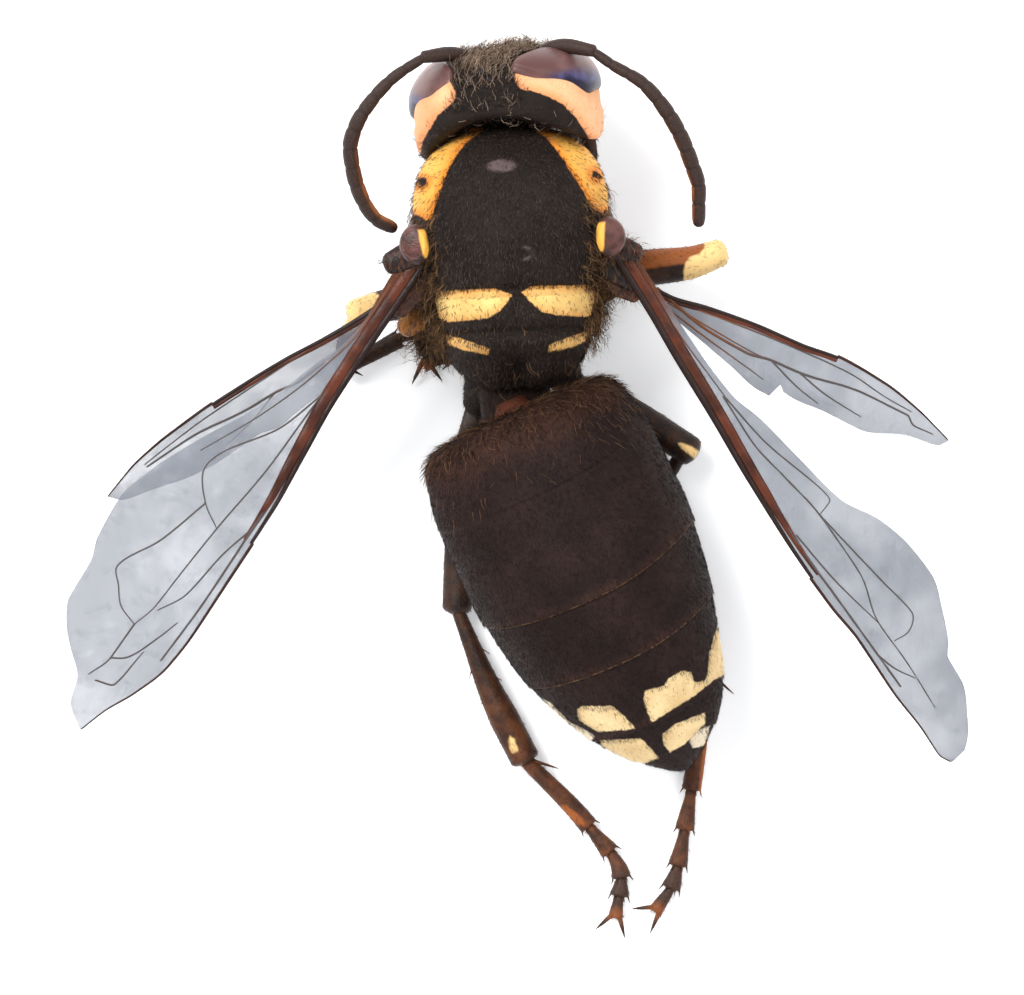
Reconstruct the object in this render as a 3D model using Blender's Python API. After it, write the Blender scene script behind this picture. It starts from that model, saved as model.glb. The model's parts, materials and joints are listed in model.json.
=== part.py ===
"""A bald-faced hornet, life size, as a still museum model.

The insect rests on its belly and folded legs with its wings half spread. The head
points along +Y, +Z is up, and the origin is on the floor under the middle of the
whole insect. Sizes are in millimetres and become metres where a mesh is made.
"""

import math

import bmesh
import bpy
import numpy as np
from mathutils import Euler, Matrix, Vector
from mathutils.geometry import delaunay_2d_cdt

MM = 0.001

# Driving dimensions, in millimetres
GAP = 0.3
HEAD_WIDTH = 4.94
HEAD_HEIGHT = 4.6
WING_THICKNESS = 0.5
VEIN_RISE = 0.11
FEELER_THICKNESS = 0.5

# Places of the main groups, and how they are turned
HEAD_PLACE = (-0.26, 9.85, 4.15)
HEAD_YAW = 7.0
HEAD_ROLL = -16.0
THORAX_PLACE = (-0.24, 9.13, 0.0)
THORAX_YAW = 2.7
GASTER_PLACE = (0.095, 1.68, 0.0)
GASTER_YAW = 25.0
ORIGIN_SHIFT = (0.011, 0.111, 0.0)

for old in list(bpy.data.objects):
    bpy.data.objects.remove(old, do_unlink=True)


def new_collection(name, hidden):
    found = bpy.data.collections.new(name)
    found.hide_render = hidden
    bpy.context.scene.collection.children.link(found)
    return found


PARTS = new_collection("bald_faced_hornet", False)
CUTTERS = new_collection("cutters", True)


def finish(obj, colour, roughness):
    """Gives one object its own plain material."""
    material = bpy.data.materials.new(obj.name + "_finish")
    material.use_nodes = True
    shader = material.node_tree.nodes["Principled BSDF"]
    shader.inputs["Base Color"].default_value = (*colour, 1.0)
    shader.inputs["Roughness"].default_value = roughness
    shader.inputs["Metallic"].default_value = 0.0
    material.diffuse_color = (*colour, 1.0)
    obj.data.materials.clear()
    obj.data.materials.append(material)


BLACK = (0.022, 0.016, 0.014)
DARK_BROWN = (0.05, 0.026, 0.018)
LEG_BROWN = (0.13, 0.045, 0.02)
AMBER = (0.65, 0.3, 0.08)
CREAM = (0.75, 0.6, 0.36)
EYE_PLUM = (0.1, 0.07, 0.08)
MEMBRANE = (0.5, 0.55, 0.62)


# Building meshes


def add_solid(name, bm, place=None, collection=None):
    """Makes an object from a bmesh whose coordinates are in millimetres."""
    bmesh.ops.scale(bm, vec=(MM, MM, MM), verts=bm.verts)
    bmesh.ops.recalc_face_normals(bm, faces=bm.faces)
    mesh = bpy.data.meshes.new(name)
    bm.to_mesh(mesh)
    bm.free()
    obj = bpy.data.objects.new(name, mesh)
    (collection or PARTS).objects.link(obj)
    if place is not None:
        mesh.transform(place)
        mesh.update()
    return obj


def frame_at(place, yaw=0.0, roll=0.0, pitch=0.0):
    """A group's frame: its place in millimetres, then turns in degrees about Z, Y and X."""
    spin = Euler((math.radians(pitch), math.radians(roll), math.radians(yaw)), "XYZ")
    return Matrix.Translation(Vector(place) * MM) @ spin.to_matrix().to_4x4()


def smooth_curve(stations, values):
    """A curve through the values that doesn't overshoot between them."""
    x = np.array(stations, float)
    y = np.array(values, float)
    step = np.diff(x)
    slope = np.diff(y) / step
    tangent = np.zeros_like(y)
    for i in range(1, len(x) - 1):
        if slope[i - 1] * slope[i] > 0:
            tangent[i] = 2.0 / (1.0 / slope[i - 1] + 1.0 / slope[i])
    tangent[0] = slope[0]
    tangent[-1] = slope[-1]

    def value(at):
        i = int(np.clip(np.searchsorted(x, at) - 1, 0, len(x) - 2))
        t = (at - x[i]) / step[i]
        a = (1 + 2 * t) * (1 - t) ** 2 * y[i] + t * (1 - t) ** 2 * step[i] * tangent[i]
        b = t * t * (3 - 2 * t) * y[i + 1] + t * t * (t - 1) * step[i] * tangent[i + 1]
        return float(a + b)

    return value


def loft(rings):
    """A closed bmesh through rings of equal count, with a fan at each end."""
    bm = bmesh.new()
    rows = [[bm.verts.new(p) for p in ring] for ring in rings]
    count = len(rows[0])
    for near, far in zip(rows, rows[1:]):
        for i in range(count):
            j = (i + 1) % count
            bm.faces.new((near[i], near[j], far[j], far[i]))
    for row in (rows[0], rows[-1]):
        middle = bm.verts.new(sum((v.co for v in row), Vector()) / count)
        for i in range(count):
            bm.faces.new((row[i], row[(i + 1) % count], middle))
    bmesh.ops.recalc_face_normals(bm, faces=bm.faces)
    bmesh.ops.triangulate(bm, faces=bm.faces)
    return bm


def body_ring(at, width, low, high, middle, power_low, power_high, count):
    """One upright section of the body: a superellipse whose halves may differ."""
    ring = []
    for i in range(count):
        turn = 2 * math.pi * (i + 0.5) / count
        c = math.cos(turn)
        s = math.sin(turn)
        power = power_high if s > 0 else power_low
        reach = (abs(c) ** power + abs(s) ** power) ** (-1.0 / power)
        height = (high - middle) if s > 0 else (middle - low)
        ring.append((width * reach * c, at, middle + height * reach * s))
    return ring


def on_curve(points, steps):
    """Points evenly spread along a smooth curve through the given ones."""
    given = [Vector(p) for p in points]
    if len(given) == 2:
        return [given[0].lerp(given[1], i / (steps - 1)) for i in range(steps)]
    run = [0.0]
    for a, b in zip(given, given[1:]):
        run.append(run[-1] + (b - a).length)
    axes = [smooth_curve(run, [p[k] for p in given]) for k in range(3)]
    at = [run[-1] * i / (steps - 1) for i in range(steps)]
    return [Vector([axis(t) for axis in axes]) for t in at]


def limb(points, radii, sides=8, steps=7, flat=1.0, up=(0, 0, 1), round_ends=(True, True)):
    """A tapering bent limb. Flat is its thickness along up as a share of its width."""
    path = on_curve(points, steps)
    radius = smooth_curve(np.linspace(0, 1, len(radii)), radii)
    stops = []
    for i, centre in enumerate(path):
        ahead = path[min(i + 1, steps - 1)] - path[max(i - 1, 0)]
        stops.append((centre, ahead.normalized(), radius(i / (steps - 1))))
    if round_ends[0]:
        centre, ahead, r = stops[0]
        stops[:1] = [(centre - ahead * r * 0.55, ahead, r * 0.55), (centre - ahead * r * 0.2, ahead, r * 0.9)]
    if round_ends[1]:
        centre, ahead, r = stops[-1]
        stops[-1:] = [(centre + ahead * r * 0.2, ahead, r * 0.9), (centre + ahead * r * 0.55, ahead, r * 0.55)]
    rings = []
    for centre, ahead, r in stops:
        side = ahead.cross(Vector(up)).normalized()
        top = side.cross(ahead).normalized()
        turns = [2 * math.pi * (k + 0.5) / sides for k in range(sides)]
        rings.append([centre + side * r * math.cos(t) + top * r * flat * math.sin(t) for t in turns])
    return loft(rings)


def ball(radii, place, turn=(0, 0, 0), segments=16, rings=10):
    """An ellipsoid: its radii, place and turns in degrees."""
    bm = bmesh.new()
    bmesh.ops.create_uvsphere(bm, u_segments=segments, v_segments=rings, radius=1.0)
    spin = Euler([math.radians(a) for a in turn], "XYZ").to_matrix().to_4x4()
    bm.transform(Matrix.Translation(place) @ spin @ Matrix.Diagonal((*radii, 1.0)))
    bmesh.ops.triangulate(bm, faces=bm.faces)
    return bm


# Joining, growing and cutting


def largest_surface(mesh):
    """Keeps only the largest closed surface of a mesh, with its shortest edges merged."""
    bm = bmesh.new()
    for reach in (0.004, 0.002, 0.001, 0.0005, 0.0):
        bm.clear()
        bm.from_mesh(mesh)
        bmesh.ops.triangulate(bm, faces=bm.faces)
        bmesh.ops.remove_doubles(bm, verts=bm.verts, dist=reach * MM)
        if all(edge.is_manifold for edge in bm.edges):
            break
    left = set(bm.verts)
    islands = []
    while left:
        seed = left.pop()
        island = {seed}
        front = [seed]
        while front:
            for edge in front.pop().link_edges:
                for vert in edge.verts:
                    if vert not in island:
                        island.add(vert)
                        front.append(vert)
        left -= island
        islands.append(island)
    keep = max(islands, key=len)
    bmesh.ops.delete(bm, geom=[v for v in bm.verts if v not in keep], context="VERTS")
    bm.to_mesh(mesh)
    bm.free()


def apply_boolean(piece, others, operation, solver="EXACT"):
    """One Boolean of a piece with other closed objects, applied to its mesh."""
    group = bpy.data.collections.new("operands")
    for other in others:
        group.objects.link(other)
    modifier = piece.modifiers.new("join", "BOOLEAN")
    modifier.operation = operation
    modifier.operand_type = "COLLECTION"
    modifier.collection = group
    modifier.solver = solver
    bpy.context.view_layer.update()
    graph = bpy.context.evaluated_depsgraph_get()
    mesh = bpy.data.meshes.new_from_object(piece.evaluated_get(graph))
    piece.modifiers.clear()
    old = piece.data
    piece.data = mesh
    mesh.name = piece.name
    bpy.data.meshes.remove(old)
    bpy.data.collections.remove(group)
    largest_surface(mesh)


def remove_all(objects):
    for obj in objects:
        bpy.data.objects.remove(obj, do_unlink=True)


def fuse(piece, bits):
    """Joins small forms, whose roots are sunk in, to their piece."""
    extras = [add_solid(piece.name + "_bit", bm, None, CUTTERS) for bm in bits]
    apply_boolean(piece, extras, "UNION")
    remove_all(extras)


def grown(piece, distance=GAP):
    """A copy of a piece, larger by a distance all round."""
    bm = bmesh.new()
    bm.from_mesh(piece.data)
    bm.normal_update()
    moves = [v.normal * min(v.calc_shell_factor(), 1.5) * distance * MM for v in bm.verts]
    for vert, move in zip(bm.verts, moves):
        vert.co += move
    mesh = bpy.data.meshes.new(piece.name + "_grown")
    bm.to_mesh(mesh)
    bm.free()
    obj = bpy.data.objects.new(mesh.name, mesh)
    CUTTERS.objects.link(obj)
    obj.display_type = "WIRE"
    obj.hide_render = True
    return obj


def clear_of(piece, neighbours, distance=GAP):
    """Cuts a piece back so that it meets its neighbours face to face across the gap.

    A grown copy may cross itself in a tight corner, which the EXACT solver refuses.
    """
    for neighbour in neighbours:
        tool = grown(neighbour, distance)
        apply_boolean(piece, [tool], "DIFFERENCE", "MANIFOLD")
        remove_all([tool])


# The thorax: one lofted form, parted into pronotum, thorax and propodeum

THORAX_FRAME = frame_at(THORAX_PLACE, THORAX_YAW)
THORAX_STATIONS = (
    0, 0.25, 0.7, 1.2, 1.9, 2.8, 3.6, 4.0, 4.12, 4.3, 4.7, 5.0, 5.12, 5.3, 5.6, 5.75, 6.1, 6.45, 6.6,
)
THORAX_HALF = (
    0.9, 1.55, 2.08, 2.36, 2.5, 2.42, 2.25, 2.14, 2.1, 2.08, 2.0, 1.94, 1.9, 1.86, 1.8, 1.74, 1.5, 1.05, 0.7,
)
THORAX_TOP = (
    5.0, 5.5, 6.0, 6.32, 6.6, 6.72, 6.55, 6.38, 6.22, 6.42, 6.3, 6.0, 5.7, 5.72, 5.45, 5.1, 4.5, 3.95, 3.65,
)
THORAX_LOW = (
    3.2, 2.7, 2.2, 1.9, 1.72, 1.65, 1.65, 1.68, 1.7, 1.7, 1.75, 1.8, 1.83, 1.87, 1.95, 2.0, 2.15, 2.35, 2.5,
)
THORAX_END = THORAX_STATIONS[-1]
PROPODEUM_START = 5.72
THORAX_RING = 22
COLLAR_HALF = 2.12
COLLAR_DEPTH = 2.25
COLLAR_SHOULDER = 2.76


def thorax_bm(start, stop):
    """The part of the thorax between two distances behind its front."""
    half = smooth_curve(THORAX_STATIONS, THORAX_HALF)
    top = smooth_curve(THORAX_STATIONS, THORAX_TOP)
    low = smooth_curve(THORAX_STATIONS, THORAX_LOW)
    inner = [s for s in THORAX_STATIONS if start + 0.08 < s < stop - 0.08]
    rings = []
    for s in [start, *inner, stop]:
        middle = low(s) + 0.52 * (top(s) - low(s))
        rings.append(body_ring(-s, half(s), low(s), top(s), middle, 2.2, 2.25, THORAX_RING))
    return loft(rings)


def column_bm(inset):
    """The room of the thorax behind its collar: a tall column with an oval front."""
    rings = []
    shoulder = -COLLAR_SHOULDER - inset
    half = COLLAR_HALF - inset
    wide = 3.2
    back = -9.0
    for z in (0.5, 7.5):
        turns = [math.pi * i / 19 for i in range(20)]
        oval = [(half * math.cos(t), shoulder + 0.01 + COLLAR_DEPTH * math.sin(t), z) for t in turns]
        rings.append([(wide, back, z), (wide, shoulder, z), *oval, (-wide, shoulder, z), (-wide, back, z)])
    return loft(rings)


pronotum = add_solid("pronotum", thorax_bm(0.0, 4.0), THORAX_FRAME)
thorax = add_solid("thorax", thorax_bm(0.0, PROPODEUM_START), THORAX_FRAME)
propodeum = add_solid("propodeum", thorax_bm(PROPODEUM_START + GAP, THORAX_END), THORAX_FRAME)
for piece, inset, operation in ((pronotum, 0.0, "DIFFERENCE"), (thorax, GAP, "INTERSECT")):
    column = add_solid("collar_column", column_bm(inset), THORAX_FRAME, CUTTERS)
    apply_boolean(piece, [column], operation)
    remove_all([column])
trunk = add_solid("trunk", thorax_bm(0.0, THORAX_END), THORAX_FRAME, CUTTERS)
trunk.hide_render = True
trunk.display_type = "WIRE"
finish(pronotum, AMBER, 0.5)
finish(thorax, BLACK, 0.45)
finish(propodeum, BLACK, 0.6)


# The gaster: six rings, each standing a little proud of the next at its rear edge

GASTER_FRAME = frame_at(GASTER_PLACE, GASTER_YAW)
GASTER_STATIONS = (-0.7, -0.42, -0.34, -0.22, 0.1, 0.6, 1.8, 3.2, 4.65, 6.45, 8.15, 8.75, 9.2, 9.5, 9.56)
GASTER_HALF = (0.45, 0.6, 1.9, 2.4, 2.72, 2.86, 3.03, 3.04, 2.9, 2.48, 1.74, 1.25, 0.75, 0.32, 0.2)
GASTER_TOP = (3.45, 3.6, 4.3, 4.6, 4.85, 5.05, 5.25, 5.32, 5.15, 4.5, 3.5, 3.0, 2.55, 2.2, 2.1)
GASTER_LOW = (2.6, 2.5, 2.15, 1.95, 1.55, 1.1, 0.38, -0.08, -0.06, 0.42, 1.1, 1.35, 1.5, 1.65, 1.7)
GASTER_SWAY = (0, 0, 0, 0, 0, 0, 0, 0, 0, 0.02, 0.14, 0.16, 0.14, 0.1, 0.1)
GASTER_LEAN = (0, 0, 0, 0, 0.02, 0.05, 0.12, 0.18, 0.21, 0.21, 0.21, 0.21, 0.21, 0.21, 0.21)
GASTER_ENDS = (-0.7, 1.5, 4.13, 5.97, 7.88, 8.82, 9.56)
GASTER_RING = 26
EDGE_STEP = 0.07


def gaster_bm(start, stop, last):
    half, top, low, sway, lean = (
        smooth_curve(GASTER_STATIONS, values)
        for values in (GASTER_HALF, GASTER_TOP, GASTER_LOW, GASTER_SWAY, GASTER_LEAN)
    )
    span = stop - start
    if start < 0:
        inner = [s for s in GASTER_STATIONS if start < s < stop - 0.3] + [stop - 0.55]
    else:
        inner = [start + span / 3, start + span * 2 / 3]
    rings = []
    for s in [start, *inner, stop - 0.04, stop]:
        proud = 0.0 if last else EDGE_STEP * max(0.0, (s - start) / span) ** 2
        edge = 0.06 if s == stop and not last else 0.0
        grow = proud - edge
        middle = low(s) + 0.46 * (top(s) - low(s))
        ring = body_ring(-s, half(s) + grow, low(s) - grow, top(s) + grow, middle, 1.6, 2.1, GASTER_RING)
        rings.append([(x + sway(s), y - lean(s) * (z - middle), max(z, 0.0)) for x, y, z in ring])
    return loft(rings)


gaster = []
for index in range(6):
    start = GASTER_ENDS[index] + (GAP / 2 if index else 0.0)
    stop = GASTER_ENDS[index + 1] - (GAP / 2 if index < 5 else 0.0)
    ring = add_solid(f"gaster_{index + 1}", gaster_bm(start, stop, index == 5), GASTER_FRAME)
    finish(ring, BLACK if index < 3 else CREAM, 0.55)
    gaster.append(ring)
clear_of(gaster[0], [trunk])


# The head, its eyes and its jaws

HEAD_FRAME = frame_at(HEAD_PLACE, HEAD_YAW, HEAD_ROLL)


def head_bm():
    """A wide lens, hollow behind, narrower at the jaws and raised at the shield of the face."""
    bm = bmesh.new()
    bmesh.ops.create_uvsphere(bm, u_segments=26, v_segments=16, radius=1.0)
    bm.transform(Matrix.Rotation(math.radians(-90), 4, "X"))
    for vert in bm.verts:
        x, y, z = vert.co
        if y > 0:
            deep = 1.28 * y**0.8
        else:
            deep = -(0.45 + 2.0 * x * x + 0.5 * z * z) * math.sqrt(-y)
        narrow = 1.0 - 0.34 * max(0.0, -z) ** 2.2
        shield = math.exp(-((x / 0.42) ** 4)) * math.exp(-(((z + 0.48) / 0.34) ** 4))
        deep += 0.16 * shield * max(0.0, y)
        vert.co = (x * HEAD_WIDTH / 2 * narrow, deep, z * HEAD_HEIGHT / 2)
    bmesh.ops.triangulate(bm, faces=bm.faces)
    return bm


EYE_PLACE = (1.95, 1.02, 0.35)
EYE_RADII = (1.08, 0.62, 1.62)
EYE_TURN = -27


def eye_region(side):
    """A bean that holds the eye: its long axis leans in at the top, its hollow side faces the brow."""
    bm = ball((1, 1, 1), (0, 0, 0), (0, 0, 0), 18, 12)
    for vert in bm.verts:
        x, y, z = vert.co
        dent = 0.42 * math.exp(-((z - 0.05) ** 2) / 0.08) * max(0.0, -x)
        square = 1.0 + 0.5 * abs(x * y)
        vert.co = ((x + dent) * EYE_RADII[0] * square, y * EYE_RADII[1] * square, z * EYE_RADII[2])
    lean = Matrix.Rotation(math.radians(-9), 4, "Y") @ Matrix.Rotation(math.radians(14), 4, "X")
    face = Matrix.Rotation(math.radians(EYE_TURN), 4, "Z")
    bm.transform(Matrix.Translation(EYE_PLACE) @ face @ lean)
    if side < 0:
        bm.transform(Matrix.Diagonal((-1, 1, 1, 1)))
        bmesh.ops.reverse_faces(bm, faces=bm.faces)
    return bm


head = add_solid("head", head_bm(), HEAD_FRAME)
eyes = []
for name, side in (("eye_left", -1), ("eye_right", 1)):
    eye = add_solid(name, eye_region(side), HEAD_FRAME)
    shell = grown(head, 0.12)
    apply_boolean(eye, [shell], "INTERSECT")
    remove_all([shell])
    finish(eye, EYE_PLUM, 0.25)
    eyes.append(eye)
clear_of(head, eyes)
finish(head, BLACK, 0.5)

JAW_PATH = ((1.2, 0.5, -1.4), (1.05, 0.95, -2.05), (0.6, 1.12, -2.42), (0.24, 1.02, -2.6))
JAW_RADII = (0.42, 0.4, 0.3, 0.12)
JAW_FLATNESS = 0.7

for name, side in (("mandible_left", -1), ("mandible_right", 1)):
    points = [(side * x, y, z) for x, y, z in JAW_PATH]
    jaw = add_solid(name, limb(points, JAW_RADII, 8, 6, JAW_FLATNESS), HEAD_FRAME)
    clear_of(jaw, [head])
    finish(jaw, CREAM, 0.4)

clear_of(pronotum, [head])


# Feelers: a scape and two lengths of flagellum on each side

FEELERS = {
    "left": {
        "scape": [(-0.75, 10.55, 4.85), (-1.6, 10.9, 5.15), (-2.3, 10.8, 5.35)],
        "flagellum": [
            (-2.35, 10.75, 5.35), (-3.05, 10.31, 5.4), (-3.54, 9.81, 5.35), (-3.99, 9.13, 5.2), (-4.14, 8.58, 5.0),
            (-4.07, 8.0, 4.75), (-3.86, 7.33, 4.5), (-3.49, 6.8, 4.3), (-3.1, 6.6, 4.2),
        ],
    },
    "right": {
        "scape": [(0.3, 10.75, 4.95), (1.15, 11.1, 5.3), (1.9, 10.95, 5.55)],
        "flagellum": [
            (1.98, 10.88, 5.55), (2.36, 10.63, 5.6), (3.11, 10.18, 5.65), (3.61, 9.63, 5.6), (4.04, 8.94, 5.45),
            (4.35, 8.19, 5.2), (4.54, 7.51, 4.95), (4.54, 6.73, 4.7),
        ],
    },
}


def split_path(points, share, gap):
    """Two lengths of one smooth path, with a gap between them."""
    path = on_curve(points, 141)
    run = [0.0]
    for a, b in zip(path, path[1:]):
        run.append(run[-1] + (b - a).length)
    cut = run[-1] * share
    first = [p for p, r in zip(path, run) if r <= cut - gap / 2]
    second = [p for p, r in zip(path, run) if r >= cut + gap / 2]
    return first, second


for name, paths in FEELERS.items():
    radius = FEELER_THICKNESS / 2
    scape = add_solid(f"antenna_{name}_scape", limb(paths["scape"], [radius, radius], 8, 5))
    clear_of(scape, [head, *eyes])
    first, second = split_path(paths["flagellum"], 0.5, GAP + radius * 1.1)
    inner = add_solid(f"antenna_{name}_inner", limb(first, [radius * 0.9, radius], 8, 8))
    outer = add_solid(f"antenna_{name}_outer", limb(second, [radius, radius, radius * 0.6], 8, 8))
    clear_of(inner, [scape])
    finish(scape, DARK_BROWN, 0.5)
    finish(inner, DARK_BROWN, 0.6)
    finish(outer, LEG_BROWN, 0.6)


# Wings: a flat outline with its veins raised in both faces, then laid on a gentle slope

WINGS = {
    "forewing_left": {
        "root": (-3.06, 5.5), "along": (-0.565, -0.825), "rear": -1, "height": 5.1, "slope": (-0.08, -0.0042, -0.03),
        "front": [
            (-1.5, -0.26), (-0.3, -0.28), (0.8, -0.33), (1.67, -0.38), (3.43, -0.62), (5.07, -0.77), (6.7, -0.92),
            (9.11, -0.97), (10.32, -0.99), (11.34, -0.92), (12.32, -0.62), (13.17, -0.23), (13.9, 0.0),
        ],
        "back": [
            (13.46, 0.6), (12.83, 0.82), (12.3, 1.4), (11.86, 1.81), (11.29, 2.11), (10.25, 2.17), (9.64, 2.37),
            (8.53, 2.46), (7.5, 2.2), (6.45, 1.76), (4.39, 0.75), (2.17, 0.27), (0.8, 0.24), (-0.3, 0.22), (-1.5, 0.22),
        ],
        "veins": [
            [(0.2, -0.1), (1.67, -0.16), (3.43, -0.4), (5.07, -0.55), (6.7, -0.7), (9.45, -0.75), (11.3, -0.68)],
            [(3.49, -0.27), (4.28, -0.24), (5.65, -0.2), (7.79, 0.02), (9.37, 0.14), (10.28, 0.2), (10.93, 0.38)],
            [(3.6, -0.25), (4.68, 0.07), (6.67, 1.13), (7.42, 0.61), (7.79, 0.02)],
            [(7.42, 0.61), (8.8, 1.01), (10.0, 1.55), (10.33, 1.27), (10.75, 0.89), (10.93, 0.38)],
            [(7.34, -0.7), (8.28, -0.46), (9.57, -0.28), (10.31, 0.09)],
            [(10.93, 0.38), (11.96, 0.4), (12.61, 0.62)],
            [(11.96, 0.4), (11.73, 0.07), (10.78, -0.34), (10.29, -0.49)],
            [(12.64, 0.4), (12.47, -0.05), (11.37, -0.2)],
        ],
    },
    "forewing_right": {
        "root": (2.84, 5.65), "along": (0.5436, -0.8393), "rear": 1, "height": 5.1, "slope": (-0.07, -0.004, -0.03),
        "front": [
            (-1.5, -0.24), (-0.3, -0.24), (1.25, -0.26), (2.47, -0.32), (4.22, -0.37), (6.04, -0.46), (8.09, -0.5),
            (9.81, -0.43), (10.98, -0.3), (12.48, -0.28), (13.83, -0.17), (14.43, -0.17), (14.8, 0.0),
        ],
        "back": [
            (14.72, 0.44), (13.99, 0.99), (13.21, 1.32), (12.55, 1.35), (12.2, 1.57), (11.41, 1.89), (10.58, 2.13),
            (9.76, 2.07), (8.79, 1.81), (7.72, 1.22), (6.35, 0.92), (4.96, 0.63), (4.07, 0.36), (2.83, 0.26),
            (1.18, 0.24), (-0.3, 0.24), (-1.5, 0.24),
        ],
        "veins": [
            [(0.2, -0.04), (2.47, -0.1), (4.22, -0.15), (6.04, -0.22), (8.09, -0.26), (9.81, -0.18), (12.5, -0.04)],
            [(4.1, 0.2), (5.41, 0.4), (7.59, 1.01), (7.79, 0.58)],
            [
                (4.0, 0.16), (5.25, 0.15), (6.58, 0.37), (7.79, 0.58), (9.52, 0.64), (10.87, 0.36), (12.15, 0.42),
                (13.41, 0.4),
            ],
            [(7.79, 0.58), (10.05, 1.0), (11.11, 1.2), (11.47, 0.76), (11.45, 0.45)],
            [(7.9, -0.18), (9.29, 0.0), (10.87, 0.36)],
            [(11.51, -0.1), (11.99, 0.06), (12.52, 0.38)],
        ],
    },
    "hindwing_right": {
        "root": (3.34, 5.18), "along": (0.887, -0.461), "rear": -1, "height": 4.0, "slope": (-0.1, -0.002, -0.02),
        "front": [
            (-1.6, -0.24), (-0.4, -0.25), (0.5, -0.25), (1.6, -0.27), (2.89, -0.35), (4.06, -0.43), (5.19, -0.6),
            (6.34, -0.54), (7.38, -0.34), (8.05, -0.13), (8.44, 0.0),
        ],
        "back": [
            (8.24, 0.24), (7.47, 0.37), (6.29, 0.79), (5.36, 0.8), (4.55, 0.87), (4.2, 0.84), (4.04, 0.72),
            (3.92, 1.09), (3.4, 0.98), (2.36, 0.96), (1.32, 0.75), (0.57, 0.42), (-0.4, 0.26), (-1.6, 0.25),
        ],
        "veins": [
            [(0.2, 0.0), (1.87, 0.36), (2.91, 0.4), (3.55, 0.28), (4.32, 0.23), (6.02, -0.06), (7.24, -0.08)],
            [(3.55, 0.28), (4.5, 0.59), (5.1, 0.7)],
            [(0.2, -0.02), (2.23, -0.16), (3.64, -0.24), (5.42, -0.34), (6.6, -0.22), (7.26, -0.2)],
        ],
    },
    "hindwing_left": {
        "root": (-3.29, 4.75), "along": (-0.819, -0.573), "rear": 1, "height": 3.95, "slope": (-0.115, -0.002, -0.02),
        "front": [
            (-1.6, -0.22), (-0.4, -0.24), (0.5, -0.25), (1.6, -0.27), (2.89, -0.33), (4.06, -0.38), (5.19, -0.42),
            (6.34, -0.4), (7.38, -0.3), (8.05, -0.13), (8.5, 0.0),
        ],
        "back": [
            (8.2, 0.3), (7.47, 0.5), (6.29, 0.82), (5.36, 0.9), (4.55, 0.9), (3.92, 1.05), (3.4, 1.0),
            (2.36, 0.96), (1.32, 0.75), (0.57, 0.42), (-0.4, 0.26), (-1.6, 0.25),
        ],
        "veins": [
            [(0.2, 0.0), (1.87, 0.36), (2.91, 0.4), (3.55, 0.28), (4.32, 0.23), (6.02, -0.02), (7.24, -0.04)],
            [(3.55, 0.28), (4.5, 0.55), (5.3, 0.66)],
            [(0.2, -0.04), (2.23, -0.12), (3.64, -0.16), (5.42, -0.2), (6.6, -0.16), (7.26, -0.12)],
        ],
    },
}
VEIN_SPACING = 0.95
FLANK = 0.17


def spaced(points, spacing):
    """A polyline with no step longer than the spacing."""
    found = []
    for a, b in zip(points, points[1:]):
        a = Vector(a)
        b = Vector(b)
        count = max(1, math.ceil((b - a).length / spacing))
        found.extend(a.lerp(b, i / count) for i in range(count))
    found.append(Vector(points[-1]))
    return found


def line_distance(point, line):
    best = 1e9
    for a, b in zip(line, line[1:]):
        run = b - a
        t = min(1.0, max(0.0, (point - a).dot(run) / max(run.length_squared, 1e-12)))
        best = min(best, (point - a - run * t).length)
    return best


def inside_outline(point, outline):
    hits = 0
    for a, b in zip(outline, outline[1:] + outline[:1]):
        if (a.y > point.y) != (b.y > point.y):
            cross = a.x + (point.y - a.y) * (b.x - a.x) / (b.y - a.y)
            hits += cross > point.x
    return hits % 2 == 1


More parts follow.
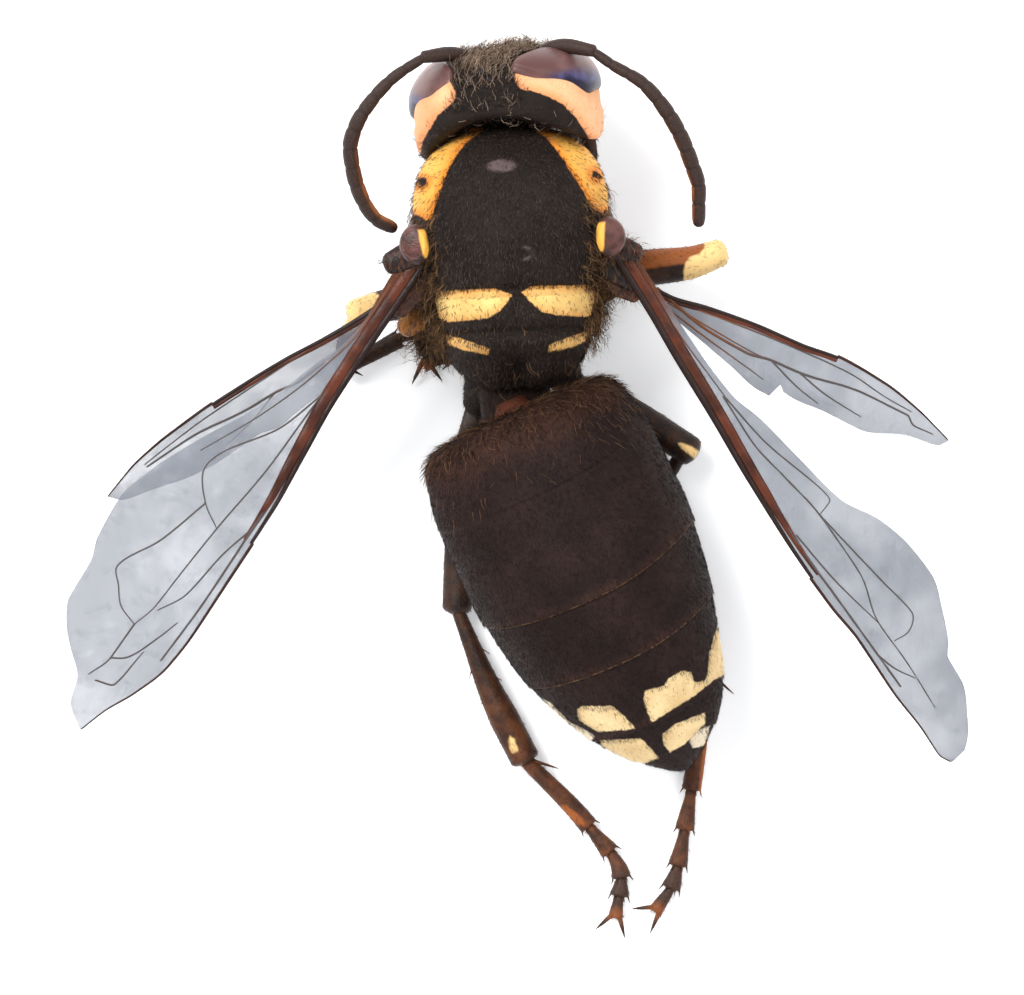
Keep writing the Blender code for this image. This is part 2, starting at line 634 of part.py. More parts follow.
def wing_bm(shape, thickness, rise):
    """Both faces share one triangulation, so that they stay apart where the wing bends."""
    outline = spaced(shape["front"] + shape["back"][:1], 1.1)[:-1] + spaced(shape["back"], 1.1)
    veins = [spaced(v, VEIN_SPACING) for v in shape["veins"]]
    points = list(outline)
    edges = [(i, (i + 1) % len(outline)) for i in range(len(outline))]
    for vein in veins:
        first = len(points)
        points.extend(vein)
        edges.extend((first + i, first + i + 1) for i in range(len(vein) - 1))
    rim = outline + outline[:1]
    flanks = []
    for vein in veins:
        for a, b in zip(vein, vein[1:]):
            across = (b - a).normalized().orthogonal() * FLANK
            for side in (-1, 1):
                flank = (a + b) / 2 + across * side
                near = min(line_distance(flank, v) for v in veins)
                close = min([(flank - f).length for f in flanks], default=9)
                if near > FLANK * 0.85 and close > FLANK and inside_outline(flank, outline):
                    if line_distance(flank, rim) > 0.12:
                        flanks.append(flank)
    points.extend(flanks)
    flat, _, faces, _, _, _ = delaunay_2d_cdt(points, edges, [list(range(len(outline)))], 1, 0.02)
    along = Vector(shape["along"]).normalized()
    back = Vector((-along.y, along.x)) * (1 if shape["rear"] > 0 else -1)
    a, b, c = shape["slope"]
    bm = bmesh.new()
    sheets = []
    for way in (1, -1):
        sheet = []
        for p in flat:
            near = min(line_distance(p, v) for v in veins)
            lift = thickness / 2 + rise * max(0.0, 1.0 - near / FLANK)
            u = max(p.x, 0.0)
            z = shape["height"] + a * u + b * u * u + c * p.y + way * lift
            place = Vector(shape["root"]) + along * p.x + back * p.y
            sheet.append(bm.verts.new((place.x, place.y, z)))
        sheets.append(sheet)
    upper, lower = sheets
    counts = {}
    for face in faces:
        bm.faces.new([upper[i] for i in face])
        bm.faces.new([lower[i] for i in reversed(face)])
        for i, j in zip(face, face[1:] + face[:1]):
            key = (min(i, j), max(i, j))
            counts.setdefault(key, []).append((i, j))
    for found in counts.values():
        if len(found) == 1:
            i, j = found[0]
            bm.faces.new((upper[j], upper[i], lower[i]))
            bm.faces.new((upper[j], lower[i], lower[j]))
    return bm


for name, shape in WINGS.items():
    wing = add_solid(name, wing_bm(shape, WING_THICKNESS, VEIN_RISE))
    clear_of(wing, [trunk])
    finish(wing, MEMBRANE, 0.3)

# The scale over each forewing's root
TEGULA_RADII = (0.6, 0.58, 0.26)
TEGULA_PLACES = {"tegula_left": (-2.5, 6.14, 6.02), "tegula_right": (2.3, 6.34, 6.02)}
TEGULA_TILT = 14

for name, place in TEGULA_PLACES.items():
    tilt = math.copysign(TEGULA_TILT, place[0])
    tegula = add_solid(name, ball(TEGULA_RADII, place, (0, tilt, 5), 12, 8))
    clear_of(tegula, [trunk])
    finish(tegula, LEG_BROWN, 0.4)


# Legs

LEGS = {
    "fore_left": {
        "coxa": [(-0.7, 7.95, 2.3), (-1.0, 7.75, 1.35)],
        "femur": [(-1.05, 7.8, 1.15), (-1.6, 8.7, 1.0), (-2.1, 9.55, 0.95)],
        "tibia": [(-2.1, 9.5, 0.8), (-2.0, 8.6, 0.5), (-1.75, 7.35, 0.36)],
        "tarsus": [(-1.7, 7.1, 0.26), (-1.5, 6.4, 0.24), (-1.35, 5.95, 0.24)],
        "claws": (0.2, -1.0), "spurs": [(0.35, -0.9)], "size": 0.82,
    },
    "fore_right": {
        "coxa": [(0.3, 7.95, 2.3), (0.6, 7.75, 1.35)],
        "femur": [(0.65, 7.8, 1.15), (1.2, 8.7, 1.0), (1.75, 9.55, 0.95)],
        "tibia": [(1.75, 9.5, 0.8), (1.8, 8.6, 0.5), (1.6, 7.35, 0.36)],
        "tarsus": [(1.55, 7.1, 0.26), (1.35, 6.5, 0.24), (1.2, 6.05, 0.24)],
        "claws": (-0.2, -1.0), "spurs": [(-0.35, -0.9)], "size": 0.82,
    },
    "mid_left": {
        "coxa": [(-0.95, 5.45, 2.3), (-1.3, 5.25, 1.5)],
        "femur": [(-1.35, 5.2, 1.4), (-2.6, 4.85, 2.0), (-3.95, 4.48, 2.6)],
        "tibia": [(-4.0, 4.35, 2.4), (-4.25, 3.7, 1.4), (-4.3, 3.15, 0.55)],
        "tarsus": [(-4.1, 3.2, 0.3), (-2.9, 3.9, 0.26), (-1.6, 4.7, 0.24)],
        "claws": (1.0, 0.5), "spurs": [(0.9, -0.45), (0.2, 1.0)], "size": 0.95,
    },
    "mid_right": {
        "coxa": [(0.75, 5.45, 2.3), (1.15, 5.3, 1.5)],
        "femur": [(1.2, 5.3, 1.5), (3.2, 5.6, 2.0), (5.05, 6.0, 2.45)],
        "tibia": [(5.0, 5.95, 2.05), (3.5, 5.62, 0.98), (2.0, 5.0, 0.46)],
        "tarsus": [(1.32, 4.64, 0.27), (-0.4, 3.9, 0.24), (-2.3, 3.22, 0.24)],
        "claws": (0.1, -1.0), "spurs": [(-0.49, -0.87), (-0.87, 0.49)], "size": 1.0,
    },
    "hind_left": {
        "coxa": [(-0.6, 3.3, 2.5), (-0.95, 2.4, 1.55)],
        "femur": [(-1.05, 2.1, 0.9), (-1.35, -0.4, 0.4), (-1.5, -2.85, 0.5)],
        "tibia": [(-1.4, -3.25, 0.62), (-0.7, -4.9, 0.55), (0.2, -6.7, 0.5)],
        "tarsus": [(0.36, -6.95, 0.38), (1.84, -8.45, 0.28), (2.64, -9.75, 0.24), (2.5, -10.7, 0.24)],
        "claws": (-0.3, -1.0), "spurs": [(0.65, -0.75), (0.95, -0.3)], "size": 1.0,
    },
    "hind_right": {
        "coxa": [(0.7, 3.35, 2.5), (1.2, 3.0, 1.45)],
        "femur": [(1.35, 2.75, 1.0), (2.9, 1.95, 0.75), (4.3, 1.0, 1.0)],
        "tibia": [(3.75, 0.6, 0.36), (4.05, -1.2, 0.32), (4.45, -3.0, 0.32), (4.8, -4.5, 0.32)],
        "tarsus": [(4.92, -4.95, 0.34), (4.3, -8.18, 0.28), (3.95, -9.85, 0.24), (3.52, -10.55, 0.24)],
        "claws": (-0.75, -0.55), "spurs": [(0.75, -0.65), (0.1, -1.0)], "size": 1.0,
    },
}
FOOT_JOINTS = (0.0, 0.42, 0.6, 0.74, 0.84, 1.0)


def foot_bm(points, size):
    """Five joints of the foot, each flared at its end, as one tapering form."""
    path = on_curve(points, 41)
    rings = []
    for near, far in zip(FOOT_JOINTS, FOOT_JOINTS[1:]):
        last = far == 1.0
        for share, width in ((0.08, 0.15), (0.55, 0.2), (0.93, 0.24 if not last else 0.17)):
            at = near + (far - near) * share
            i = round(at * 40)
            ahead = (path[min(i + 1, 40)] - path[max(i - 1, 0)]).normalized()
            side = ahead.cross(Vector((0, 0, 1))).normalized()
            top = side.cross(ahead).normalized()
            turns = [2 * math.pi * (k + 0.5) / 8 for k in range(8)]
            r = width * size
            ring = [path[i] + side * r * math.cos(t) + top * r * math.sin(t) for t in turns]
            rings.append([(p.x, p.y, max(p.z, 0.0)) for p in ring])
    return loft(rings)


def spur_bm(base, direction, length, radius, drop):
    """A tapering spur or claw that bends down to its tip."""
    ahead = Vector((*direction, 0.0)).normalized()
    base = Vector(base) - ahead * radius
    middle = base + ahead * length * 0.55 + Vector((0, 0, drop * 0.3))
    tip = base + ahead * length - Vector((0, 0, drop))
    tip.z = max(tip.z, 0.05)
    return limb([base, middle, tip], [radius, radius * 0.8, radius * 0.3], 6, 4, 1.0, (0, 0, 1), (False, False))


def on_floor(obj):
    """Flattens whatever reaches below the floor into a small resting flat."""
    for vert in obj.data.vertices:
        vert.co.z = max(vert.co.z, 0.0)


COXA_RADII = (0.62, 0.5)
FEMUR_RADII = (0.26, 0.4, 0.41, 0.36)
TIBIA_RADII = (0.25, 0.31, 0.36, 0.34)
SPUR_LENGTH = 0.95
CLAW_LENGTH = 0.62
SPUR_RADIUS = 0.1
CLAW_HEIGHT = 0.22
CLAW_SPREAD = 0.55

for name, leg in LEGS.items():
    size = leg["size"]
    coxa = add_solid(f"coxa_{name}", limb(leg["coxa"], [r * size for r in COXA_RADII], 10, 4))
    clear_of(coxa, [trunk])
    femur = add_solid(f"femur_{name}", limb(leg["femur"], [r * size for r in FEMUR_RADII], 10, 7))
    on_floor(femur)
    clear_of(femur, [coxa, trunk])
    tibia = add_solid(f"tibia_{name}", limb(leg["tibia"], [r * size for r in TIBIA_RADII], 10, 7))
    end = Vector(leg["tibia"][-1])
    fuse(tibia, [spur_bm(end, way, SPUR_LENGTH * size, SPUR_RADIUS, 0.12) for way in leg["spurs"]])
    on_floor(tibia)
    clear_of(tibia, [femur])
    tarsus = add_solid(f"tarsus_{name}", foot_bm(leg["tarsus"], size))
    end = Vector(leg["tarsus"][-1])
    way = Vector((*leg["claws"], 0.0)).normalized()
    across = Vector((-way.y, way.x, 0.0))
    hooks = []
    for side in (-1, 1):
        start = end - way * 0.1 + across * side * 0.07
        aim = way + across * side * CLAW_SPREAD
        root = (start.x, start.y, CLAW_HEIGHT)
        hooks.append(spur_bm(root, (aim.x, aim.y), CLAW_LENGTH * size, SPUR_RADIUS, 0.1))
    fuse(tarsus, hooks)
    clear_of(tarsus, [tibia])
    for piece, colour in ((coxa, BLACK), (femur, LEG_BROWN), (tibia, LEG_BROWN), (tarsus, DARK_BROWN)):
        finish(piece, colour, 0.5)


# Everything is moved together, so that the origin lies under the middle

for obj in PARTS.objects:
    obj.data.transform(Matrix.Translation(-Vector(ORIGIN_SHIFT) * MM))
    obj.data.shade_smooth()
    obj.data.set_sharp_from_angle(angle=math.radians(40))
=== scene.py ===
# %% [markdown]
# # A bald-faced hornet
# This lesson dresses a plain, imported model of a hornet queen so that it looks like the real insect.
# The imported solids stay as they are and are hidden. Each visible piece is built over them, in
# millimetres, from the same measured sizes, and is then moved into the model's frame in metres.

# %% Load the frame
import json
import math

import bpy
import numpy as np
from mathutils import Euler, Matrix, Vector
from mathutils.bvhtree import BVHTree

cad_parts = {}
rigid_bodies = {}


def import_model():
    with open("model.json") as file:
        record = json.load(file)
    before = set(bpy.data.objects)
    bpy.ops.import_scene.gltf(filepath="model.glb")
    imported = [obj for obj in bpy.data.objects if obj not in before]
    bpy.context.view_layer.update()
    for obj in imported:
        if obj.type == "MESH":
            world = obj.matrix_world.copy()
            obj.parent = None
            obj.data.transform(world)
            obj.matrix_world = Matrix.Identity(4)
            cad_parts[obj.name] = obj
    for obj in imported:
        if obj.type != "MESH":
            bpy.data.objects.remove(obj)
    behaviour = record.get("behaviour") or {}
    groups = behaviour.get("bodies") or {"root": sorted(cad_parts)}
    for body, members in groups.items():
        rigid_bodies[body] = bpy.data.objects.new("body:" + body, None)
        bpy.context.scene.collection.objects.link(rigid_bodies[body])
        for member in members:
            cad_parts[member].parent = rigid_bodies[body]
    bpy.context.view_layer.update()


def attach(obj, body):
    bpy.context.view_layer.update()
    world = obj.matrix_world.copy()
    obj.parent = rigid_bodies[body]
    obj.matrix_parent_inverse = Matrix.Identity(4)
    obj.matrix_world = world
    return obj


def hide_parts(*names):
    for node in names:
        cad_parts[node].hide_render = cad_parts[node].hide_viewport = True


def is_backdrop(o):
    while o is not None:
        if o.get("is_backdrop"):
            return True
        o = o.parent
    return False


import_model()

MM = 0.001
SHIFT = (0.011, 0.111)    # from the measured frame to the model's frame, in millimetres

# %% [markdown]
# ## Small tools
# Most of an insect is made of sleeves: a body ring, a leg joint, a feeler and a vein are all tubes
# whose section changes along a line. A grid primitive has rows and columns of points, so it can be
# wrapped round as such a sleeve: each row becomes one ring, and the seam and the two ends are merged.

# %% Curves and frames


def curve(stations, values):
    """A smooth curve through the values that doesn't overshoot between them."""
    x = np.array(stations, float)
    y = np.array(values, float)
    step = np.diff(x)
    slope = np.diff(y) / step
    tangent = np.zeros_like(y)
    tangent[0] = slope[0]
    tangent[-1] = slope[-1]
    for i in range(1, len(x) - 1):
        if slope[i - 1] * slope[i] > 0:
            tangent[i] = 2.0 / (1.0 / slope[i - 1] + 1.0 / slope[i])

    def value(at):
        at = np.asarray(at, float)
        i = np.clip(np.searchsorted(x, at) - 1, 0, len(x) - 2)
        t = (at - x[i]) / step[i]
        start = (1 + 2 * t) * (1 - t) ** 2 * y[i] + t * (1 - t) ** 2 * step[i] * tangent[i]
        return start + t * t * (3 - 2 * t) * y[i + 1] + t * t * (t - 1) * step[i] * tangent[i + 1]

    return value


def along_path(points, count):
    """Points evenly spread along a smooth curve through the given ones."""
    given = np.array(points, float)
    run = np.concatenate([[0.0], np.cumsum(np.linalg.norm(np.diff(given, axis=0), axis=1))])
    at = np.linspace(0.0, run[-1], count)
    if len(given) == 2:
        return given[0] + (given[1] - given[0]) * (at / run[-1])[:, None]
    return np.stack([curve(run, given[:, k])(at) for k in range(given.shape[1])], 1)


def turned(place, yaw=0.0, roll=0.0, pitch=0.0):
    """A frame in millimetres: its place, then turns in degrees about Z, Y and X."""
    spin = Euler((math.radians(pitch), math.radians(roll), math.radians(yaw)), "XYZ")
    return np.array(Matrix.Translation(Vector(place)) @ spin.to_matrix().to_4x4())


def moved(points, frame_matrix):
    return points @ frame_matrix[:3, :3].T + frame_matrix[:3, 3]


def bump(value, width):
    """1 at zero, falling smoothly to 0 over about two widths."""
    return np.exp(-((value / width) ** 2))


# %% Sleeves and fans from grid primitives


def deselect():
    if bpy.context.object and bpy.context.object.mode != "OBJECT":
        bpy.ops.object.mode_set(mode="OBJECT")
    bpy.ops.object.select_all(action="DESELECT")


def positions(obj):
    """The points of a piece, in millimetres in the model's frame."""
    co = np.empty(len(obj.data.vertices) * 3)
    obj.data.vertices.foreach_get("co", co)
    return co.reshape(-1, 3) / MM


def set_positions(obj, points):
    obj.data.vertices.foreach_set("co", (np.asarray(points) * MM).ravel())
    obj.data.update()


def measured(obj):
    """The points of a piece in the frame in which the photo was measured."""
    return positions(obj) + [*SHIFT, 0]


def set_measured(obj, points):
    points[:, :2] -= SHIFT
    set_positions(obj, points)


def normals(obj):
    found = np.empty(len(obj.data.vertices) * 3)
    obj.data.vertices.foreach_get("normal", found)
    return found.reshape(-1, 3)


def tidy_shell(obj):
    """Merges the seam and the ends, and points the faces outwards."""
    deselect()
    obj.select_set(True)
    bpy.context.view_layer.objects.active = obj
    bpy.ops.object.mode_set(mode="EDIT")
    bpy.ops.mesh.select_all(action="SELECT")
    bpy.ops.mesh.remove_doubles(threshold=0.000001)
    bpy.ops.mesh.normals_make_consistent(inside=False)
    bpy.ops.object.mode_set(mode="OBJECT")
    bpy.ops.object.shade_smooth()
    return obj


def sleeve(name, rings):
    """A closed tube through rings of points, drawn to a point at each end."""
    rings = np.asarray(rings, float)
    first = np.repeat(rings[0].mean(0)[None], rings.shape[1], 0)
    last = np.repeat(rings[-1].mean(0)[None], rings.shape[1], 0)
    rows = np.concatenate([first[None], rings, last[None]])
    rows = np.concatenate([rows, rows[:, :1]], 1)
    high, wide = rows.shape[0] - 1, rows.shape[1] - 1
    deselect()
    bpy.ops.mesh.primitive_grid_add(x_subdivisions=wide, y_subdivisions=high, size=1)
    obj = bpy.context.object
    obj.name = name
    obj.data.name = name
    flat = positions(obj) * MM
    i = np.rint((flat[:, 0] + 0.5) * wide).astype(int)
    j = np.rint((flat[:, 1] + 0.5) * high).astype(int)
    set_measured(obj, rows[j, i])
    return tidy_shell(obj)


def tube(name, path, radii, sides=12, steps=24, flat=1.0, ends=0.6):
    """A limb along a path, with rounded ends. Flat is its height as a share of its width."""
    line = along_path(path, steps)
    share = np.linspace(0, 1, steps)
    if callable(radii):
        radius = radii(share)
    else:
        radius = curve(np.linspace(0, 1, len(radii)), radii)(share)
    ahead = np.gradient(line, axis=0)
    ahead /= np.linalg.norm(ahead, axis=1)[:, None]
    caps = [(0.98, 0.2), (0.8, 0.6), (0.45, 0.89)]
    stops = [(line[0] - ahead[0] * radius[0] * ends * b, ahead[0], radius[0] * a) for a, b in caps[::-1]]
    stops += list(zip(line, ahead, radius))
    stops += [(line[-1] + ahead[-1] * radius[-1] * ends * b, ahead[-1], radius[-1] * a) for a, b in caps]
    turn = 2 * np.pi * (np.arange(sides) + 0.5) / sides
    rings = []
    for centre, way, r in stops:
        side = np.cross(way, (0, 0, 1.0))
        side /= np.linalg.norm(side)
        top = np.cross(side, way)
        rings.append(centre + r * (np.outer(np.cos(turn), side) + flat * np.outer(np.sin(turn), top)))
    return sleeve(name, rings)


def joined(name, parts):
    """Several closed shells as one piece."""
    deselect()
    for part in parts:
        part.select_set(True)
    bpy.context.view_layer.objects.active = parts[0]
    if len(parts) > 1:
        bpy.ops.object.join()
    parts[0].name = name
    parts[0].data.name = name
    return parts[0]


def united(name, parts):
    """Several closed shells made into one skin, with nothing left inside it."""
    skin = parts[0]
    others = joined(name + "_others", parts[1:])
    deselect()
    skin.select_set(True)
    bpy.context.view_layer.objects.active = skin
    join = skin.modifiers.new("join", "BOOLEAN")
    join.operation = "UNION"
    join.solver = "EXACT"
    join.use_self = True
    join.object = others
    bpy.ops.object.modifier_apply(modifier="join")
    bpy.data.objects.remove(others, do_unlink=True)
    skin.name = name
    skin.data.name = name
    return skin


# %% Marks as depths


def rounded(outline, count=8):
    """A closed outline with its corners softened."""
    p = np.array(outline, float)
    before, after, beyond = np.roll(p, 1, 0), np.roll(p, -1, 0), np.roll(p, -2, 0)
    found = []
    for t in np.arange(count) / count:
        found.append(
            0.5 * (2 * p + (after - before) * t + (2 * before - 5 * p + 4 * after - beyond) * t * t
                   + (3 * p - before - 3 * after + beyond) * t ** 3)
        )
    return np.stack(found, 1).reshape(-1, 2)


def depth_in(points, outline):
    """How far each point is inside an outline, in millimetres, and below zero outside it."""
    nearest = np.full(len(points), 1e9)
    inside = np.zeros(len(points), bool)
    for a, b in zip(outline, np.roll(outline, -1, axis=0)):
        run = b - a
        t = np.clip(((points - a) @ run) / max(run @ run, 1e-12), 0, 1)
        nearest = np.minimum(nearest, np.linalg.norm(points - a - t[:, None] * run, axis=1))
        crosses = (a[1] > points[:, 1]) != (b[1] > points[:, 1])
        side = a[0] + (points[:, 1] - a[1]) * run[0] / (run[1] if abs(run[1]) > 1e-9 else 1e-9)
        inside ^= crosses & (points[:, 0] < side)
    return np.where(inside, nearest, -nearest)


def store(obj, name, values, kind="FLOAT"):
    """Keeps one value or colour for each point of a piece, for its material."""
    attribute = obj.data.attributes.new(name, kind, "POINT")
    values = np.asarray(values, np.float32)
    if kind == "FLOAT_COLOR":
        values = np.concatenate([values, np.ones((len(values), 1), np.float32)], 1)
        attribute.data.foreach_set("color", values.ravel())
    else:
        attribute.data.foreach_set("value", values)


# %% [markdown]
# ## The head
# A hornet's head is a wide lens, hollow behind where it turns on the neck. A sphere primitive is
# pressed into that lens by one function, and the same function carries the eyes, so they fit it
# exactly. The shield of the face stands proud, and the feelers sit in low sockets above it.

# %% The head's shape
HEAD = turned((-0.26, 9.85, 4.15), 7.0, -16.0)
HEAD_WIDTH = 4.94
HEAD_HEIGHT = 4.6
HEAD_FRONT = 1.28
SOCKETS = (0.25, 0.2)
COAT_DEPTH = 0.06
EYE_MIDDLE = (0.83, 0.08)
EYE_OUTLINE = (
    (0.36, 0.85), (0.55, 0.80), (0.73, 0.65), (0.88, 0.45), (0.968, 0.235), (0.993, 0.0), (0.965, -0.22),
    (0.87, -0.45), (0.74, -0.6), (0.65, -0.56), (0.57, -0.4), (0.54, -0.16), (0.58, 0.03), (0.67, 0.17),
    (0.62, 0.32), (0.48, 0.45), (0.39, 0.62), (0.33, 0.77),
)
eye_line = rounded(EYE_OUTLINE)


def against_eye(local):
    """Directions of points in the head's own frame, and how far each is inside an eye's outline."""
    way = local / (HEAD_WIDTH / 2, HEAD_FRONT, HEAD_HEIGHT / 2)
    way /= np.linalg.norm(way, axis=1)[:, None]
    return way, depth_in(np.stack([np.abs(way[:, 0]), way[:, 2]], 1), eye_line)


def head_shape(way):
    """The place on the plain head for each direction from its middle."""
    x, y, z = way.T
    front = HEAD_FRONT * np.abs(y) ** 0.8
    back = -(0.45 + 2.0 * x * x + 0.5 * z * z) * np.sqrt(np.abs(y))
    narrow = 1.0 - 0.34 * np.maximum(0.0, -z) ** 2.2
    return np.stack([x * HEAD_WIDTH / 2 * narrow, np.where(y > 0, front, back), z * HEAD_HEIGHT / 2], 1)


def face_relief(way):
    """Heights over the plain head, in millimetres: shield, sockets, brow line and eye rims."""
    x, y, z = way.T
    ahead = np.clip(y, 0, 1)
    wide = 0.44 + 0.05 * np.cos(z * 6)
    shield = np.exp(-((x / wide) ** 6)) * np.exp(-(((z + 0.47) / 0.33) ** 6))
    edge = np.abs(shield - 0.45)
    relief = 0.17 * shield * ahead - 0.05 * bump(edge, 0.22) * ahead
    across = np.hypot(np.abs(x) - SOCKETS[0], z - SOCKETS[1])
    relief += ahead * (0.09 * bump(across - 0.1, 0.045) - 0.08 * bump(across, 0.06))
    relief += 0.05 * ahead * bump(x, 0.16) * bump(z - 0.12, 0.2)
    relief -= 0.035 * ahead * bump(x, 0.02) * (z > 0.15)
    flat = np.stack([np.abs(x), z], 1)
    rim = depth_in(flat, eye_line) * HEAD_WIDTH / 2
    relief += np.where(y > -0.05, 0.03 * bump(rim + 0.1, 0.07) - 0.06 * bump(rim, 0.05), 0.0)
    return relief


deselect()
bpy.ops.mesh.primitive_uv_sphere_add(segments=168, ring_count=96, radius=1, rotation=(-math.pi / 2, 0, 0))
bpy.ops.object.transform_apply(location=False, rotation=True, scale=False)
head = bpy.context.object
head.name = "head_shell"
way = positions(head) * MM
way /= np.linalg.norm(way, axis=1)[:, None]
set_positions(head, head_shape(way))
out = normals(head)
if (out * positions(head)).sum() < 0:
    out = -out
points = positions(head) + out * (face_relief(way) - COAT_DEPTH)[:, None]
set_measured(head, moved(points, HEAD))
tidy_shell(head)
print("head points", len(head.data.vertices))

# %% [markdown]
# ## Eyes
# A compound eye is a smooth cap with a hollow side towards the brow. Each is a fan of rings over the
# head's own shape, raised in the middle and sunk at its edge, and closed underneath. The facets are
# far too small to model, so the material has them.

# %% Two compound eyes
EYE_RISE = 0.15
EYE_SINK = 0.05
EYE_SLIDE = {-1: (0.25, 0.43), 1: (-0.28, 0.32)}


def eye_slide(across, ahead, side):
    """How far the rear of an eye moves back along the head's side, in millimetres."""
    inner, outer = EYE_SLIDE[side]
    return (inner + (outer - inner) * np.clip((across - 0.36) / 0.6, 0, 1)) * np.clip(1 - ahead / 0.7, 0, 1)


def eye_piece(name, side):
    middle = np.array(EYE_MIDDLE)
    outline = np.roll(eye_line, -6, 0)
    rings = []
    for share in np.concatenate([np.linspace(0.04, 0.9, 16), [0.94, 0.97, 0.99, 1.0]]):
        flat = middle + (outline - middle) * share
        reach = np.sqrt(np.clip(1 - (flat**2).sum(1), 1e-5, 1))
        way = np.stack([flat[:, 0], reach, flat[:, 1]], 1)
        way /= np.linalg.norm(way, axis=1)[:, None]
        base = head_shape(way)
        out = base / np.array([HEAD_WIDTH / 2, HEAD_FRONT, HEAD_HEIGHT / 2]) ** 2
        out /= np.linalg.norm(out, axis=1)[:, None]
        rise = EYE_RISE * math.sqrt(max(0.0, 1 - share**5)) - EYE_SINK
        rings.append(base + out * rise - np.outer(eye_slide(way[:, 0], way[:, 1], side), (0, 1, 0)))
    under = [ring - np.array([0.25, 0.3, 0.0]) * (1 - 0.3 * k / len(rings)) for k, ring in enumerate(rings)]
    rings = [moved(ring * (side, 1, 1), HEAD) for ring in rings + under[::-1]]
    return sleeve(name, rings)


eyes = {name: eye_piece(name + "_cap", side) for name, side in (("eye_left", -1), ("eye_right", 1))}
for name, eye in eyes.items():
    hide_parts(name)

# %% [markdown]
# ## The middle body
# Collar, shield, the pale-marked plate behind it and the sloping rear are one sleeve, and their
# joints are grooves pressed into it. That way the skin has no gaps, as on the real insect, where the
# plates meet edge to edge.

# %% The trunk's sleeve
TRUNK_YAW = 2.7
TRUNK = turned((-0.24, 9.13, 0.0), TRUNK_YAW)
TRUNK_MIDDLE = 0.52
TRUNK_AT = (0, 0.25, 0.7, 1.2, 1.9, 2.8, 3.6, 4.0, 4.12, 4.3, 4.7, 5.0, 5.12, 5.3, 5.6, 5.75, 6.1, 6.45, 6.6)
TRUNK_HALF = curve(TRUNK_AT, (
    0.9, 1.55, 2.08, 2.36, 2.5, 2.42, 2.25, 2.14, 2.1, 2.08, 2.0, 1.94, 1.9, 1.86, 1.8, 1.74, 1.5, 1.05, 0.7))
TRUNK_TOP = curve(TRUNK_AT, (
    5.0, 5.5, 6.0, 6.32, 6.6, 6.72, 6.55, 6.38, 6.22, 6.42, 6.3, 6.0, 5.7, 5.72, 5.45, 5.1, 4.5, 3.95, 3.65))
TRUNK_LOW = curve(TRUNK_AT, (
    3.2, 2.7, 2.2, 1.9, 1.72, 1.65, 1.65, 1.68, 1.7, 1.7, 1.75, 1.8, 1.83, 1.87, 1.95, 2.0, 2.15, 2.35, 2.5))


def oval(half, low, high, middle, power_low, power_high, count):
    """One upright section: an oval whose upper and lower halves may differ in fullness."""
    turn = 2 * np.pi * (np.arange(count) + 0.5) / count
    c, s = np.cos(turn), np.sin(turn)
    power = np.where(s > 0, power_high, power_low)
    reach = (np.abs(c) ** power + np.abs(s) ** power) ** (-1.0 / power)
    return half * reach * c, middle + np.where(s > 0, high - middle, middle - low) * reach * s


COLLAR_END, COLLAR_HALF, COLLAR_LENGTH = 2.76, 2.03, 2.6


def trunk_relief(points, out):
    """Grooves and lobes of the middle body, in millimetres."""
    x, s, z = points[:, 0], -points[:, 1], points[:, 2]
    up = np.clip(out[:, 2], 0, 1)
    side = np.clip(np.abs(out[:, 0]) * 1.6 - 0.6, 0, 1)
    collar = np.where(
        s < COLLAR_END, np.hypot(x / COLLAR_HALF, (COLLAR_END - s) / COLLAR_LENGTH), np.abs(x) / COLLAR_HALF)
    collar = (collar - 1) * 2.2
    shown = (z > 4.0) & (s < 3.7)
    relief = np.where(shown, 0.035 * bump(collar - 0.09, 0.07) - 0.07 * bump(collar, 0.035), 0.0)
    relief -= 0.03 * bump(x, 0.02) * up * (s > 0.5) * (s < 3.4)
    for seam in (-0.85, 0.85):
        relief -= 0.02 * bump(x - seam, 0.025) * up * bump(s - 2.9, 0.5)
    relief += 0.09 * bump(np.abs(x) - 0.95, 0.7) * bump(s - 4.6, 0.28) * up
    relief -= 0.1 * bump(x, 0.1) * bump(s - 4.6, 0.35) * up
    relief += 0.07 * bump(s - 5.38, 0.1) * up
    relief -= 0.32 * bump(x, 0.34) * bump(s - 6.2, 0.38)
    relief -= 0.06 * bump(np.hypot(x - 0.45, s - 3.2) - 0.12, 0.03) * up
    relief -= 0.06 * bump(s - 2.75 + 0.35 * (z - 4), 0.05) * side * (z < 5.2)
    relief -= 0.05 * bump(z - 3.6 - 0.25 * np.sin(s * 1.5), 0.045) * side * (s > 2.9) * (s < 5.2)
    relief -= 0.05 * bump(s - 5.3 - 0.2 * (z - 4), 0.05) * side
    relief += 0.12 * side * bump(s - 4.0, 0.6) * bump(z - 2.9, 0.5)
    return relief - COAT_DEPTH


